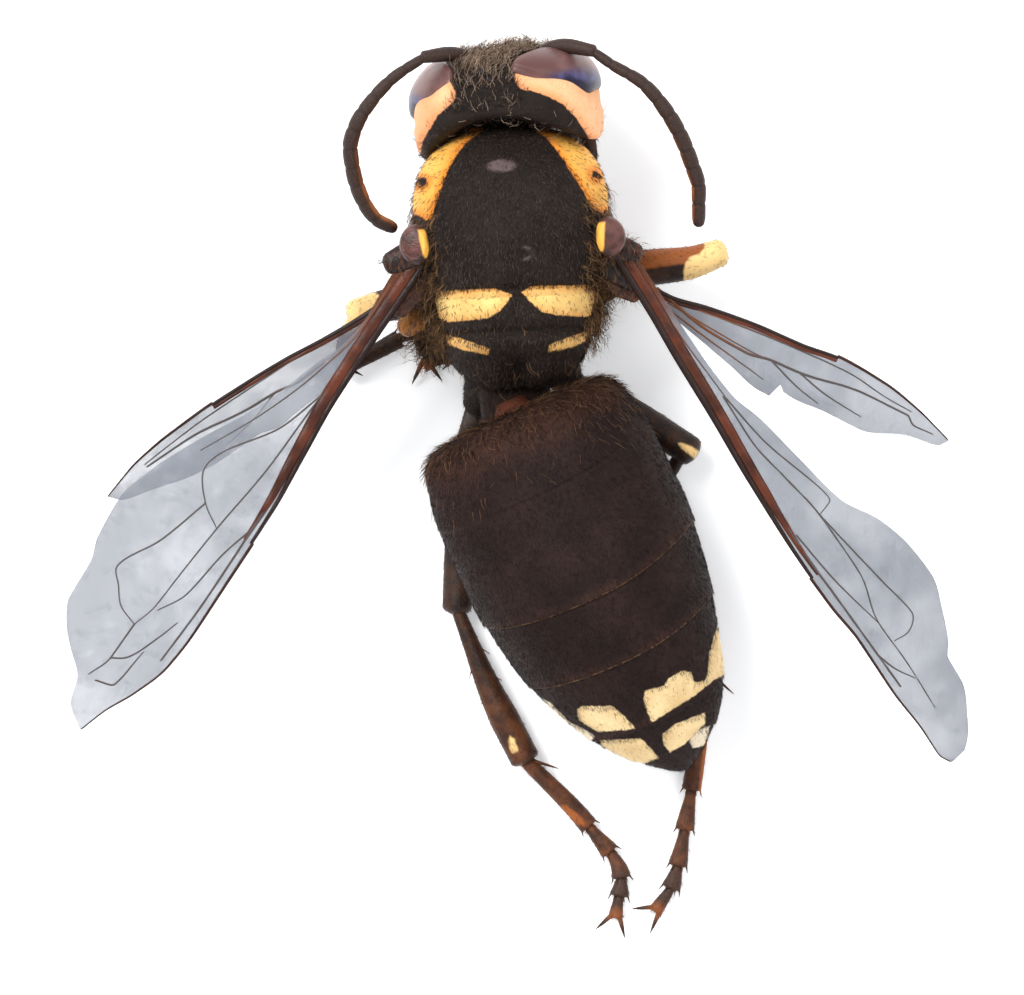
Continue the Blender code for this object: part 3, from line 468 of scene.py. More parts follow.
spots = np.concatenate([np.linspace(0, TRUNK_AT[-1], 190), [4.02, 4.05, 4.08, 4.15, 5.08, 5.16]])
rings = []
for s in np.unique(spots):
    low, high = TRUNK_LOW(s), TRUNK_TOP(s)
    x, z = oval(TRUNK_HALF(s), low, high, low + TRUNK_MIDDLE * (high - low), 2.2, 2.25, 150)
    rings.append(np.stack([x, np.full_like(x, -s), z], 1))
trunk = sleeve("trunk_shell", rings)
local = measured(trunk)
local += normals(trunk) * trunk_relief(local, normals(trunk))[:, None]
set_measured(trunk, moved(local, TRUNK))
neck = tube("neck", [(-0.3, 9.9, 4.0), (-0.24, 9.3, 4.0), (-0.24, 8.8, 4.0)], [1.15, 1.0, 1.3], 36, 12, 0.75)
waist_line = [(-0.15, 3.3, 2.7), (-0.05, 2.5, 2.5), (0.1, 1.6, 2.6)]
waist = tube("waist", waist_line, [0.95, 0.9, 0.95], 32, 12, 0.75)
lobe = tube("side_lobe", [(-1.6, 4.1, 2.6), (-2.3, 3.65, 2.35)], [0.5, 0.44, 0.36], 24, 12, 0.9)
print("trunk points", len(trunk.data.vertices))

# %% [markdown]
# ## The gaster
# The hind body is six overlapping rings. Each rear edge stands a little proud of the next ring, and
# on top the edges arch towards the tail, which one lean along the sleeve gives.

# %% The gaster's sleeve
GASTER_YAW = 25.0
GASTER = turned((0.095, 1.68, 0.0), GASTER_YAW)
GASTER_MIDDLE = 0.46
GASTER_AT = (-0.7, -0.42, -0.34, -0.22, 0.1, 0.6, 1.8, 3.2, 4.65, 6.45, 8.15, 8.75, 9.2, 9.5, 9.56)
GASTER_HALF = curve(GASTER_AT, (
    0.45, 0.6, 1.9, 2.4, 2.72, 2.86, 3.03, 3.04, 2.9, 2.48, 1.74, 1.25, 0.75, 0.32, 0.2))
GASTER_TOP = curve(GASTER_AT, (
    3.45, 3.6, 4.3, 4.6, 4.85, 5.05, 5.25, 5.32, 5.15, 4.5, 3.5, 3.0, 2.55, 2.2, 2.1))
GASTER_LOW = curve(GASTER_AT, (
    2.6, 2.5, 2.15, 1.95, 1.55, 1.1, 0.38, -0.08, -0.06, 0.42, 1.1, 1.35, 1.5, 1.65, 1.7))
GASTER_SWAY = curve(GASTER_AT, (0, 0, 0, 0, 0, 0, 0, 0, 0, 0.02, 0.14, 0.16, 0.14, 0.1, 0.1))
GASTER_LEAN = curve(GASTER_AT, (
    0, 0, 0, 0, 0.02, 0.05, 0.12, 0.18, 0.21, 0.21, 0.21, 0.21, 0.21, 0.21, 0.21))
EDGES = (-0.7, 1.5, 4.13, 5.97, 7.88, 8.82, 9.56)
EDGE_RISE = (0.02, 0.05, 0.05, 0.06, 0.06, 0.0)
EDGE_SKEW = 0.05

stops = []
for start, end in zip(EDGES, EDGES[1:]):
    inner = np.linspace(start + 0.015, end - 0.09, max(8, int((end - start) * 22)))
    stops.extend([*inner, end - 0.05, end - 0.02, end - 0.004])
stops.extend([-0.38, -0.36, -0.32, -0.3, -0.28, -0.26])
rings = []
for s in sorted(set(stops)):
    index = max(0, sum(s > edge for edge in EDGES[:-1]) - 1)
    start, end = EDGES[index], EDGES[index + 1]
    share = (s - start) / (end - start)
    rise = EDGE_RISE[index] * share**2 - COAT_DEPTH
    low, high = GASTER_LOW(s), GASTER_TOP(s)
    middle = low + GASTER_MIDDLE * (high - low)
    x, z = oval(GASTER_HALF(s) + rise, low - rise, high + rise, middle, 1.6, 2.1, 168)
    back = -s - GASTER_LEAN(s) * (z - middle)
    back += EDGE_SKEW * np.maximum(x, 0) ** 2 * (z - low) / (high - low) * min(1.0, max(0.0, s))
    rings.append(np.stack([x + GASTER_SWAY(s), back, np.maximum(z, 0.02)], 1))
gaster = sleeve("gaster_shell", rings)
set_measured(gaster, moved(measured(gaster), GASTER))
print("gaster points", len(gaster.data.vertices))

# %% [markdown]
# ## Legs
# Each leg is a chain of short sleeves: hip, ring, thigh, shin and five foot joints with two claws.
# They are modelled whole, also where the body hides them, and each is one piece.

# %% Where the legs lie
LEGS = {
    "fore_left": {
        "coxa": [(-0.7, 7.95, 2.3), (-1.0, 7.75, 1.35)],
        "femur": [(-1.05, 7.8, 1.15), (-1.6, 8.7, 1.0), (-2.1, 9.55, 0.95)],
        "tibia": [(-2.1, 9.5, 0.8), (-2.0, 8.6, 0.5), (-1.75, 7.35, 0.36)],
        "tarsus": [(-1.7, 7.1, 0.26), (-1.5, 6.4, 0.24), (-1.35, 5.95, 0.24)],
        "claws": (0.2, -1.0), "spurs": [(0.35, -0.9)], "size": 0.82,
    },
    "fore_right": {
        "coxa": [(0.3, 7.95, 2.3), (0.6, 7.75, 1.35)],
        "femur": [(0.65, 7.8, 1.15), (1.2, 8.7, 1.0), (1.75, 9.55, 0.95)],
        "tibia": [(1.75, 9.5, 0.8), (1.8, 8.6, 0.5), (1.6, 7.35, 0.36)],
        "tarsus": [(1.55, 7.1, 0.26), (1.35, 6.5, 0.24), (1.2, 6.05, 0.24)],
        "claws": (-0.2, -1.0), "spurs": [(-0.35, -0.9)], "size": 0.82,
    },
    "mid_left": {
        "coxa": [(-0.95, 5.45, 2.3), (-1.3, 5.25, 1.5)],
        "femur": [(-1.35, 5.2, 1.4), (-2.6, 4.85, 2.0), (-4.05, 4.5, 2.6)],
        "tibia": [(-4.0, 4.35, 2.4), (-4.25, 3.7, 1.4), (-4.3, 3.15, 0.55)],
        "tarsus": [(-4.1, 3.2, 0.3), (-2.9, 3.9, 0.26), (-1.6, 4.7, 0.24)],
        "claws": (1.0, 0.5), "spurs": [(0.9, -0.45), (0.2, 1.0)], "size": 0.95,
    },
    "mid_right": {
        "coxa": [(0.75, 5.45, 2.3), (1.15, 5.3, 1.5)],
        "femur": [(1.2, 5.3, 1.5), (3.2, 5.62, 2.0), (4.3, 5.74, 2.3), (5.1, 6.0, 2.45)],
        "tibia": [(5.0, 5.95, 2.05), (3.5, 5.62, 0.98), (2.0, 5.0, 0.46)],
        "tarsus": [(1.32, 4.64, 0.27), (-0.4, 3.9, 0.24), (-2.3, 3.22, 0.24)],
        "claws": (0.1, -1.0), "spurs": [(-0.49, -0.87), (-0.87, 0.49)], "size": 1.0,
    },
    "hind_left": {
        "coxa": [(-0.6, 3.3, 2.5), (-0.88, 2.2, 1.6)],
        "femur": [(-1.05, 2.1, 0.9), (-1.35, -0.4, 0.4), (-1.5, -2.85, 0.5)],
        "tibia": [(-1.4, -3.25, 0.62), (-0.7, -4.9, 0.55), (0.2, -6.7, 0.5)],
        "tarsus": [(0.36, -6.95, 0.38), (1.84, -8.45, 0.28), (2.64, -9.75, 0.24), (2.5, -10.7, 0.24)],
        "claws": (-0.3, -1.0), "spurs": [(0.65, -0.75), (0.95, -0.3)], "size": 1.0,
    },
    "hind_right": {
        "coxa": [(0.7, 3.35, 2.5), (1.2, 3.0, 1.45)],
        "femur": [(1.35, 2.75, 1.0), (2.9, 1.95, 0.75), (4.4, 1.07, 1.0)],
        "tibia": [(3.75, 0.6, 0.36), (3.72, 0.1, 0.34), (4.05, -1.2, 0.32), (4.45, -3.0, 0.32),
            (4.8, -4.5, 0.32)],
        "tarsus": [(4.92, -4.95, 0.34), (4.3, -8.18, 0.28), (3.95, -9.85, 0.24), (3.52, -10.55, 0.24)],
        "claws": (-0.75, -0.55), "spurs": [(0.75, -0.65), (0.1, -1.0)], "size": 1.0,
    },
}
FOOT_JOINTS = (0.0, 0.46, 0.64, 0.79, 0.88, 1.0)

# %% Six legs


def claw(name, root, way, length, radius, sink):
    """A spur or claw that arches over and ends in a fine point."""
    ahead = np.array([*way, 0.0]) / math.hypot(*way)
    root = np.array(root, float)
    middle = root + ahead * length * 0.55 + (0, 0, sink * 0.4)
    tip = root + ahead * length - (0, 0, sink)
    tip[2] = max(tip[2], 0.04)
    return tube(name, [root - ahead * radius, middle, tip], [radius, radius * 0.75, 0.012], 8, 9)


def spine(name, root, way, length, radius):
    """A short stiff bristle."""
    way = np.array(way) / np.linalg.norm(way)
    root = np.array(root)
    tip = root + way * length
    tip[2] = max(tip[2], 0.03)
    line = [root - way * radius * 2, root + way * length * 0.5, tip]
    return tube(name, line, [radius, radius * 0.8, 0.006], 6, 5)


SHIN_WIDTHS = {"fore": (0.18, 0.27, 0.32, 0.32), "mid": (0.18, 0.26, 0.3, 0.3),
               "hind": (0.17, 0.23, 0.31, 0.38, 0.38)}
THIGH_WIDTHS = {"fore": (0.22, 0.36, 0.38, 0.35, 0.34), "mid": (0.24, 0.4, 0.46, 0.43, 0.35),
                "hind": (0.24, 0.4, 0.42, 0.4, 0.38)}

legs, hips = {}, []
for name, leg in LEGS.items():
    size, pair = leg["size"], name.split("_")[0]
    hips.append(tube("hip_" + name, leg["coxa"], [0.6 * size, 0.56 * size, 0.46 * size], 24, 12))
    hip_end, thigh = np.array(leg["coxa"][1]), np.array(leg["femur"], float)
    shin, foot = np.array(leg["tibia"], float), np.array(leg["tarsus"], float)
    ring = tube("ring_" + name, [hip_end, thigh[0] * 0.8 + thigh[1] * 0.2], [0.3 * size, 0.27 * size], 16, 6)
    knee = (thigh[-1] + shin[0]) / 2
    thigh = np.concatenate([thigh[:-1], [thigh[-1] * 0.9 + knee * 0.1]])
    shin = np.concatenate([[knee], shin[1:]])
    parts = [
        ring,
        tube("thigh_" + name, thigh, [w * size for w in THIGH_WIDTHS[pair]], 18, 30),
        tube("shin_" + name, shin, [w * size for w in SHIN_WIDTHS[pair]], 16, 30, 0.9, 0.4),
    ]
    run = along_path(shin, 12)
    for k in range(3, 11):
        ahead = run[k] - run[k - 1]
        ahead /= np.linalg.norm(ahead)
        across = np.cross(ahead, (0, 0, 1.0))
        turn = (-1) ** k
        root = run[k] + across * turn * 0.24 * size + (0, 0, 0.08)
        parts.append(spine(f"spine_{k}_{name}", root, ahead * 0.8 + across * turn * 0.6, 0.2 * size, 0.022))
    spur_length = (0.5 if pair == "mid" else 0.9) * size
    for k, way in enumerate(leg["spurs"]):
        parts.append(claw(f"spur_{k}_{name}", shin[-1], way, spur_length, 0.06, 0.1))
    foot = np.concatenate([[shin[-1] * 0.7 + foot[0] * 0.3], foot[1:]])
    line = along_path(foot, 61)
    for near, far in zip(FOOT_JOINTS, FOOT_JOINTS[1:]):
        bit = line[round(near * 60): round(far * 60) + 1]
        first, last = far == FOOT_JOINTS[1], far == 1.0
        narrow = 0.19 if first else 0.11
        wide = 0.25 if first else (0.19 if last else 0.25)
        radii = [narrow * size, (narrow + wide) / 2 * size, wide * size]
        parts.append(tube(f"toe_{far}_{name}", bit, radii, 14, 10, 0.8, 0.35))
        ahead = (bit[-1] - bit[-3]) / np.linalg.norm(bit[-1] - bit[-3])
        across = np.cross(ahead, (0, 0, 1.0))
        for k, (aside, up) in enumerate(((-1, 0.1), (-0.5, 0.6), (0.5, 0.6), (1, 0.1))):
            root = bit[-1] + (across * aside + np.array((0, 0, up))) * wide * size * 0.8
            reach = ahead + across * aside * 0.45
            parts.append(spine(f"bristle_{far}_{k}_{name}", root, reach, (0.1 if last else 0.2) * size, 0.03))
    way = np.array(leg["claws"], float) / math.hypot(*leg["claws"])
    across = np.array([-way[1], way[0]])
    for side in (-1, 1):
        root = foot[-1] + np.array([*(across * side * 0.07 - way * 0.06), 0.0])
        parts.append(claw(f"claw_{side}_{name}", root, way + across * side * 0.6, 0.6 * size, 0.075, 0.12))
    legs[name] = joined("leg_" + name, parts)
    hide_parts(*(f"{part}_{name}" for part in ("femur", "tibia", "tarsus")))
print("leg pieces", len(legs))

# %% [markdown]
# ## One skin
# Head, neck, middle body, waist, hind body, hips and one side lobe are closed shells that pass into each
# other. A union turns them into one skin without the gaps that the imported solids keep.

# %% Uniting the body
shells = {"head": head, "trunk": trunk, "gaster": gaster}
trees = {}
for name, shell in shells.items():
    faces = [tuple(p.vertices) for p in shell.data.polygons]
    trees[name] = BVHTree.FromPolygons([v.co.copy() for v in shell.data.vertices], faces)
skin = united("body_skin", [trunk, head, gaster, neck, waist, lobe, *hips])
tidy_shell(skin)
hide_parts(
    "head", "pronotum", "thorax", "propodeum",
    *(f"gaster_{k}" for k in range(1, 7)), *(f"coxa_{name}" for name in LEGS),
)
print("skin points", len(skin.data.vertices), "faces", len(skin.data.polygons))

# %% [markdown]
# ## Markings
# The pale marks are stored on the skin as depths: how far a point is inside a mark's outline. The
# material turns the depth into a crisp edge, so the edge doesn't depend on how fine the mesh is.

# %% Outlines of the marks, seen from above
PEACH = (0.93, 0.51, 0.27)
AMBER = (0.9, 0.49, 0.1)
STRAW = (0.87, 0.6, 0.22)
CREAM = (0.78, 0.6, 0.32)
IVORY = (0.78, 0.68, 0.5)
TOP_MARKS = {
    "collar_left": (AMBER, 3.7, [
        (-0.81, 9.07), (-1.6, 8.95), (-2.5, 8.6), (-3.2, 7.9), (-3.2, 7.0), (-2.5, 6.9), (-2.16, 6.76),
        (-1.94, 7.33), (-1.69, 8.0), (-1.31, 8.62)]),
    "collar_right": (AMBER, 3.7, [
        (0.36, 9.08), (0.94, 9.05), (1.9, 8.85), (2.7, 8.2), (2.9, 7.5), (2.5, 7.1), (1.98, 6.98),
        (1.56, 7.62), (1.11, 8.32), (0.74, 8.8)]),
    "plate_left": (STRAW, 4.6, [
        (-2.15, 5.0), (-1.89, 5.0), (-0.54, 5.05), (-0.11, 4.9), (-0.26, 4.65), (-0.46, 4.45), (-0.76, 4.3),
        (-1.69, 4.22), (-2.1, 4.4)]),
    "plate_right": (STRAW, 4.6, [
        (0.11, 4.97), (0.39, 5.1), (1.76, 5.15), (2.0, 5.05), (1.98, 4.45), (1.71, 4.35), (1.06, 4.38),
        (0.61, 4.47), (0.39, 4.67)]),
    "band_left": (STRAW, 4.4, [(-1.85, 3.93), (-1.75, 3.93), (-0.66, 3.56), (-0.7, 3.4), (-1.3, 3.52),
        (-1.85, 3.72)]),
    "band_right": (STRAW, 4.4, [(0.8, 3.66), (1.85, 4.05), (1.9, 3.85), (1.4, 3.6), (0.8, 3.48)]),
    "fourth_left": (CREAM, 1.6, [
        (1.51, -5.42), (1.64, -5.35), (2.38, -5.35), (2.65, -5.56), (2.98, -5.92), (2.04, -6.0),
        (1.57, -5.72)]),
    "fourth_edge_left": (IVORY, 1.5, [
        (0.5, -5.1), (0.84, -5.26), (1.32, -5.76), (1.95, -6.08), (1.8, -6.4), (0.9, -6.1)]),
    "fourth_right": (CREAM, 1.5, [
        (3.2, -4.95), (3.72, -4.82), (3.78, -4.65), (4.19, -4.45), (4.35, -4.52), (4.45, -4.75),
        (4.72, -4.72),
        (4.79, -4.52), (4.82, -4.05), (5.02, -3.38), (5.16, -3.21), (5.7, -3.65), (5.7, -4.32), (4.92, -4.72),
        (4.45, -5.09), (3.38, -5.76), (3.18, -5.25)]),
    "fifth_left": (CREAM, 1.4, [(2.1, -6.22), (3.11, -6.16), (3.58, -6.66), (2.9, -6.95), (2.2, -6.7)]),
    "fifth_right": (CREAM, 1.4, [
        (3.65, -6.06), (3.99, -5.79), (4.72, -5.52), (4.72, -5.8), (4.19, -6.33), (3.85, -6.53),
        (3.68, -6.33)]),
    "sixth": (IVORY, 1.3, [(4.32, -6.25), (4.5, -5.98), (4.84, -5.86), (4.74, -6.35), (4.42, -6.42)]),
}
SPOTS = ((-2.34, 7.72, 0.11), (1.96, 7.9, 0.08))
GENA_LEFT = [(-1.78, 10.3), (-1.55, 9.98), (-1.56, 9.7), (-1.9, 9.42), (-2.15, 9.05), (-2.36, 8.68),
    (-2.5, 8.4),
             (-3.5, 8.5), (-3.5, 9.8), (-2.9, 9.66), (-2.66, 9.72), (-2.22, 10.04)]
GENA_RIGHT = [(-0.05, 10.3), (0.1, 10.5), (0.3, 10.72), (1.0, 10.62), (1.55, 10.46), (2.05, 10.18),
    (2.7, 9.88),
              (3.3, 9.6), (3.3, 8.4), (2.2, 8.35), (1.86, 8.7), (1.56, 9.18), (1.12, 9.64), (0.5, 9.92),
              (0.1, 10.0)]
# The face isn't in view: these follow the species, as seen from the front of the head
FACE_MARKS = (
    (IVORY, [(-0.42, -0.12), (0.42, -0.12), (0.5, -0.45), (0.36, -0.8), (-0.36, -0.8), (-0.5, -0.45)]),
    (IVORY, [(-0.2, 0.22), (0.2, 0.22), (0.24, 0.13), (0.1, 0.02), (-0.1, 0.02), (-0.24, 0.13)]),
    (IVORY, [(0.5, -0.05), (0.62, 0.14), (0.55, 0.35), (0.44, 0.3), (0.42, 0.1), (0.42, -0.1)]),
    (IVORY, [(-0.5, -0.05), (-0.62, 0.14), (-0.55, 0.35), (-0.44, 0.3), (-0.42, 0.1), (-0.42, -0.1)]),
)

# %% Storing depth, tint and ground on the skin
DARK = {"head": (0.015, 0.011, 0.009), "trunk": (0.015, 0.011, 0.009), "gaster": (0.018, 0.0092, 0.008)}


def nearest_shell(obj):
    """Which shell each point of the skin came from."""
    names = list(trees)
    reach = np.empty((len(obj.data.vertices), len(names)))
    for k, name in enumerate(names):
        find = trees[name].find_nearest
        reach[:, k] = [find(v.co)[3] for v in obj.data.vertices]
    return np.array(names)[reach.argmin(1)]


def place_marks(points, shell, out):
    """Depth in the nearest mark, and that mark's tint, for points of the skin."""
    flat = points[:, :2] + SHIFT
    z = points[:, 2]
    depth = np.full(len(points), -1.0)
    tint = np.tile(CREAM, (len(points), 1))

    def add(found, colour, ok):
        nonlocal depth
        found = np.where(ok, found, -1.0)
        better = found > depth
        depth = np.where(better, found, depth)
        tint[better] = colour

    for name, (colour, low, outline) in TOP_MARKS.items():
        on = "gaster" if name.startswith(("fourth", "fifth", "sixth")) else "trunk"
        line = rounded(outline, 4) if on == "trunk" and name.startswith("collar") else np.array(outline)
        found = np.minimum(depth_in(flat, line), z - low)
        if name.startswith("collar"):
            for x, y, r in SPOTS:
                found = np.minimum(found, np.hypot(flat[:, 0] - x, flat[:, 1] - y) - r)
        add(found, colour, (shell == on) & (out[:, 2] > -0.3))
    for outline in (GENA_LEFT, GENA_RIGHT):
        found = np.minimum(depth_in(flat, rounded(outline, 4)), z - 3.0)
        add(found, PEACH, shell == "head")
    back = np.linalg.inv(HEAD)
    local = moved(points + [*SHIFT, 0], back)
    face = np.stack([local[:, 0] / (HEAD_WIDTH / 2), local[:, 2] / (HEAD_HEIGHT / 2)], 1)
    for colour, outline in FACE_MARKS:
        found = depth_in(face, rounded(outline, 4)) * HEAD_WIDTH / 2
        if outline[0][1] < 0:
            middle = 0.14 - np.hypot(face[:, 0], np.maximum(0, np.abs(face[:, 1] + 0.4) - 0.2)) * 2.4
            found = np.minimum(found, -middle)
        add(found, colour, (shell == "head") & (local[:, 1] > 0.45))
    return depth, tint


def on_gaster(points):
    """Side, distance along and height of points in the hind body's own frame."""
    return moved(points + [*SHIFT, 0], np.linalg.inv(GASTER)) * (1, -1, 1)


points, out = positions(skin), normals(skin)
shell = nearest_shell(skin)
depth, tint = place_marks(points, shell, out)
hind = on_gaster(points)
s = hind[:, 1]
middle = GASTER_LOW(s) + GASTER_MIDDLE * (GASTER_TOP(s) - GASTER_LOW(s))
along = s - GASTER_LEAN(s) * (hind[:, 2] - middle)
tall = (hind[:, 2] - GASTER_LOW(s)) / (GASTER_TOP(s) - GASTER_LOW(s))
along += EDGE_SKEW * np.maximum(hind[:, 0], 0) ** 2 * tall * np.clip(s, 0, 1)
rim = np.full(len(points), -1.0)
for edge, width in ((EDGES[2], 0.016), (EDGES[3], 0.012)):
    rim = np.maximum(rim, np.where(shell == "gaster", width - np.abs(along - edge + 0.02), -1.0))
ground = np.array([DARK[name] for name in shell])
edge_glow = sum(bump(along - edge + 0.12, 0.1) for edge in EDGES[2:5]) * (shell == "gaster")
ground = ground + edge_glow[:, None] * np.array((0.012, 0.005, 0.003))
front = bump(along - 0.15, 0.5) * (shell == "gaster")
ground = ground + front[:, None] * np.array((0.02, 0.007, 0.003))
ground[(shell == "gaster") & (s < -0.3)] = (0.014, 0.007, 0.005)
ground[(shell == "gaster") & (s < -0.36) & (hind[:, 2] > 3.2)] = (0.07, 0.02, 0.009)
scar = np.hypot((points[:, 0] + SHIFT[0] + 0.36) / 0.34, (points[:, 1] + SHIFT[1] - 8.1) / 0.15)
scar = np.clip((1.2 - scar) * 3, 0, 1) * (shell == "trunk") * (points[:, 2] > 5)
ground = ground + scar[:, None] * np.array((0.11, 0.08, 0.08))
# Painted highlight: a lighter half ring on the +x side of the small dimple on the middle body, on the dimple
# wall that faces the key lamp. The groove itself is pressed in by trunk_relief.
dimple = np.hypot(points[:, 0] + SHIFT[0] - 0.21, points[:, 1] + SHIFT[1] - 5.92)
ring = bump(dimple - 0.15, 0.035) * (points[:, 0] + SHIFT[0] > 0.15) * (shell == "trunk") * (points[:, 2] > 5)
ground = ground + ring[:, None] * np.array((0.12, 0.09, 0.075))
store(skin, "depth", depth)
store(skin, "rim", rim)
store(skin, "glow", np.interp(tint[:, 2], (0.1, 0.22, 0.3, 0.32), (1.0, 0.5, 0.7, 0.0)))
store(skin, "tint", tint, "FLOAT_COLOR")
store(skin, "ground", ground, "FLOAT_COLOR")
print("pale share", round(float((depth > 0).mean()), 3))

# %% [markdown]
# ## Feelers and jaws
# A queen's feeler has a long first joint, a short second and ten more in a row. The joints are
# narrowings along one sleeve. The jaws are short curved blades that meet below the face.

# %% Feelers
FEELERS = {
    "left": (
        [(-0.8, 10.6, 4.75), (-1.6, 10.9, 5.15), (-2.3, 10.82, 5.35)],
        [(-2.35, 10.78, 5.35), (-3.05, 10.31, 5.4), (-3.54, 9.81, 5.35), (-3.99, 9.13, 5.2),
            (-4.14, 8.58, 5.0),
         (-4.07, 8.0, 4.75), (-3.86, 7.33, 4.5), (-3.49, 6.8, 4.3), (-3.1, 6.6, 4.2)],
    ),
    "right": (
        [(0.3, 10.8, 4.85), (1.15, 11.1, 5.3), (1.9, 10.97, 5.55)],
        [(1.95, 10.92, 5.55), (2.36, 10.63, 5.6), (3.11, 10.18, 5.65), (3.61, 9.63, 5.6), (4.04, 8.94, 5.45),
         (4.35, 8.19, 5.2), (4.54, 7.51, 4.95), (4.54, 6.73, 4.7)],
    ),
}
JOINTS = 11


def feeler_width(share):
    """Radius along the whip, narrowed a little at each joint."""
    wide = 0.125 + 0.072 * np.clip(share * 2.2, 0, 1) - 0.03 * np.clip(share * 4 - 3, 0, 1)
    return wide * (1 - 0.1 * np.abs(np.cos(np.pi * share * JOINTS)) ** 16)


feelers = {}
for name, (scape, whip) in FEELERS.items():
    parts = [
        tube(f"scape_{name}", scape, [0.12, 0.17, 0.19, 0.16], 16, 20),
        tube(f"whip_{name}", whip, feeler_width, 16, 220, 1.0, 0.9),
    ]
    feelers[name] = joined(f"feeler_{name}", parts)
    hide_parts(*(f"antenna_{name}_{part}" for part in ("scape", "inner", "outer")))
    length = np.linalg.norm(measured(feelers[name]) - np.array(whip[0]), axis=1)
    store(feelers[name], "far", length)
    inward = np.array([0.0, 8.4, 4.5]) - positions(feelers[name])
    inward /= np.linalg.norm(inward, axis=1)[:, None]
    store(feelers[name], "under", (normals(feelers[name]) * inward).sum(1))
    line = along_path(whip, 400)
    reach = np.linalg.norm(measured(feelers[name])[:, None] - line[None], axis=2)
    share = reach.argmin(1) / 399
    on_whip = (reach.min(1) < 0.3) & (share > 0.01)
    store(feelers[name], "joint", on_whip * np.abs(np.cos(np.pi * share * JOINTS)) ** 30)

# %% Jaws and small eyes
JAW = ((1.2, 0.5, -1.4), (1.05, 0.95, -2.05), (0.6, 1.12, -2.42), (0.24, 1.02, -2.6))
jaws = []
for name, side in (("mandible_left", -1), ("mandible_right", 1)):
    line = moved(np.array(JAW) * (side, 1, 1), HEAD)
    jaw = tube(name + "_blade", line, [0.38, 0.36, 0.27, 0.1], 16, 24, 0.7)
    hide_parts(name)
    tip = np.linalg.norm(measured(jaw) - line[-1], axis=1)
    store(jaw, "depth", tip - 0.55)
    jaws.append(jaw)
BEAD = 0.1
beads = []
for k, (x, y, z) in enumerate(((0.0, 0.62, 2.0), (-0.26, 0.4, 2.14), (0.26, 0.4, 2.14))):
    place = moved(np.array([[x, y, z]]), HEAD)[0]
    turn = np.linspace(0, 2 * np.pi, 13)[:-1]
    rings = [
        place + BEAD * np.stack(
            [np.cos(turn) * math.sin(a), np.sin(turn) * math.sin(a), np.full(12, math.cos(a))], 1)
        for a in np.linspace(0.2, math.pi - 0.2, 8)
    ]
    beads.append(sleeve(f"bead_{k}", rings))
ocelli = joined("ocelli", beads)

# %% [markdown]
# ## Wings
# A wing is a thin film held by hollow veins, with a stout double vein along its front edge. The film
# is one flat sleeve from root to tip, gently rippled, and the veins are thin tubes laid on it.

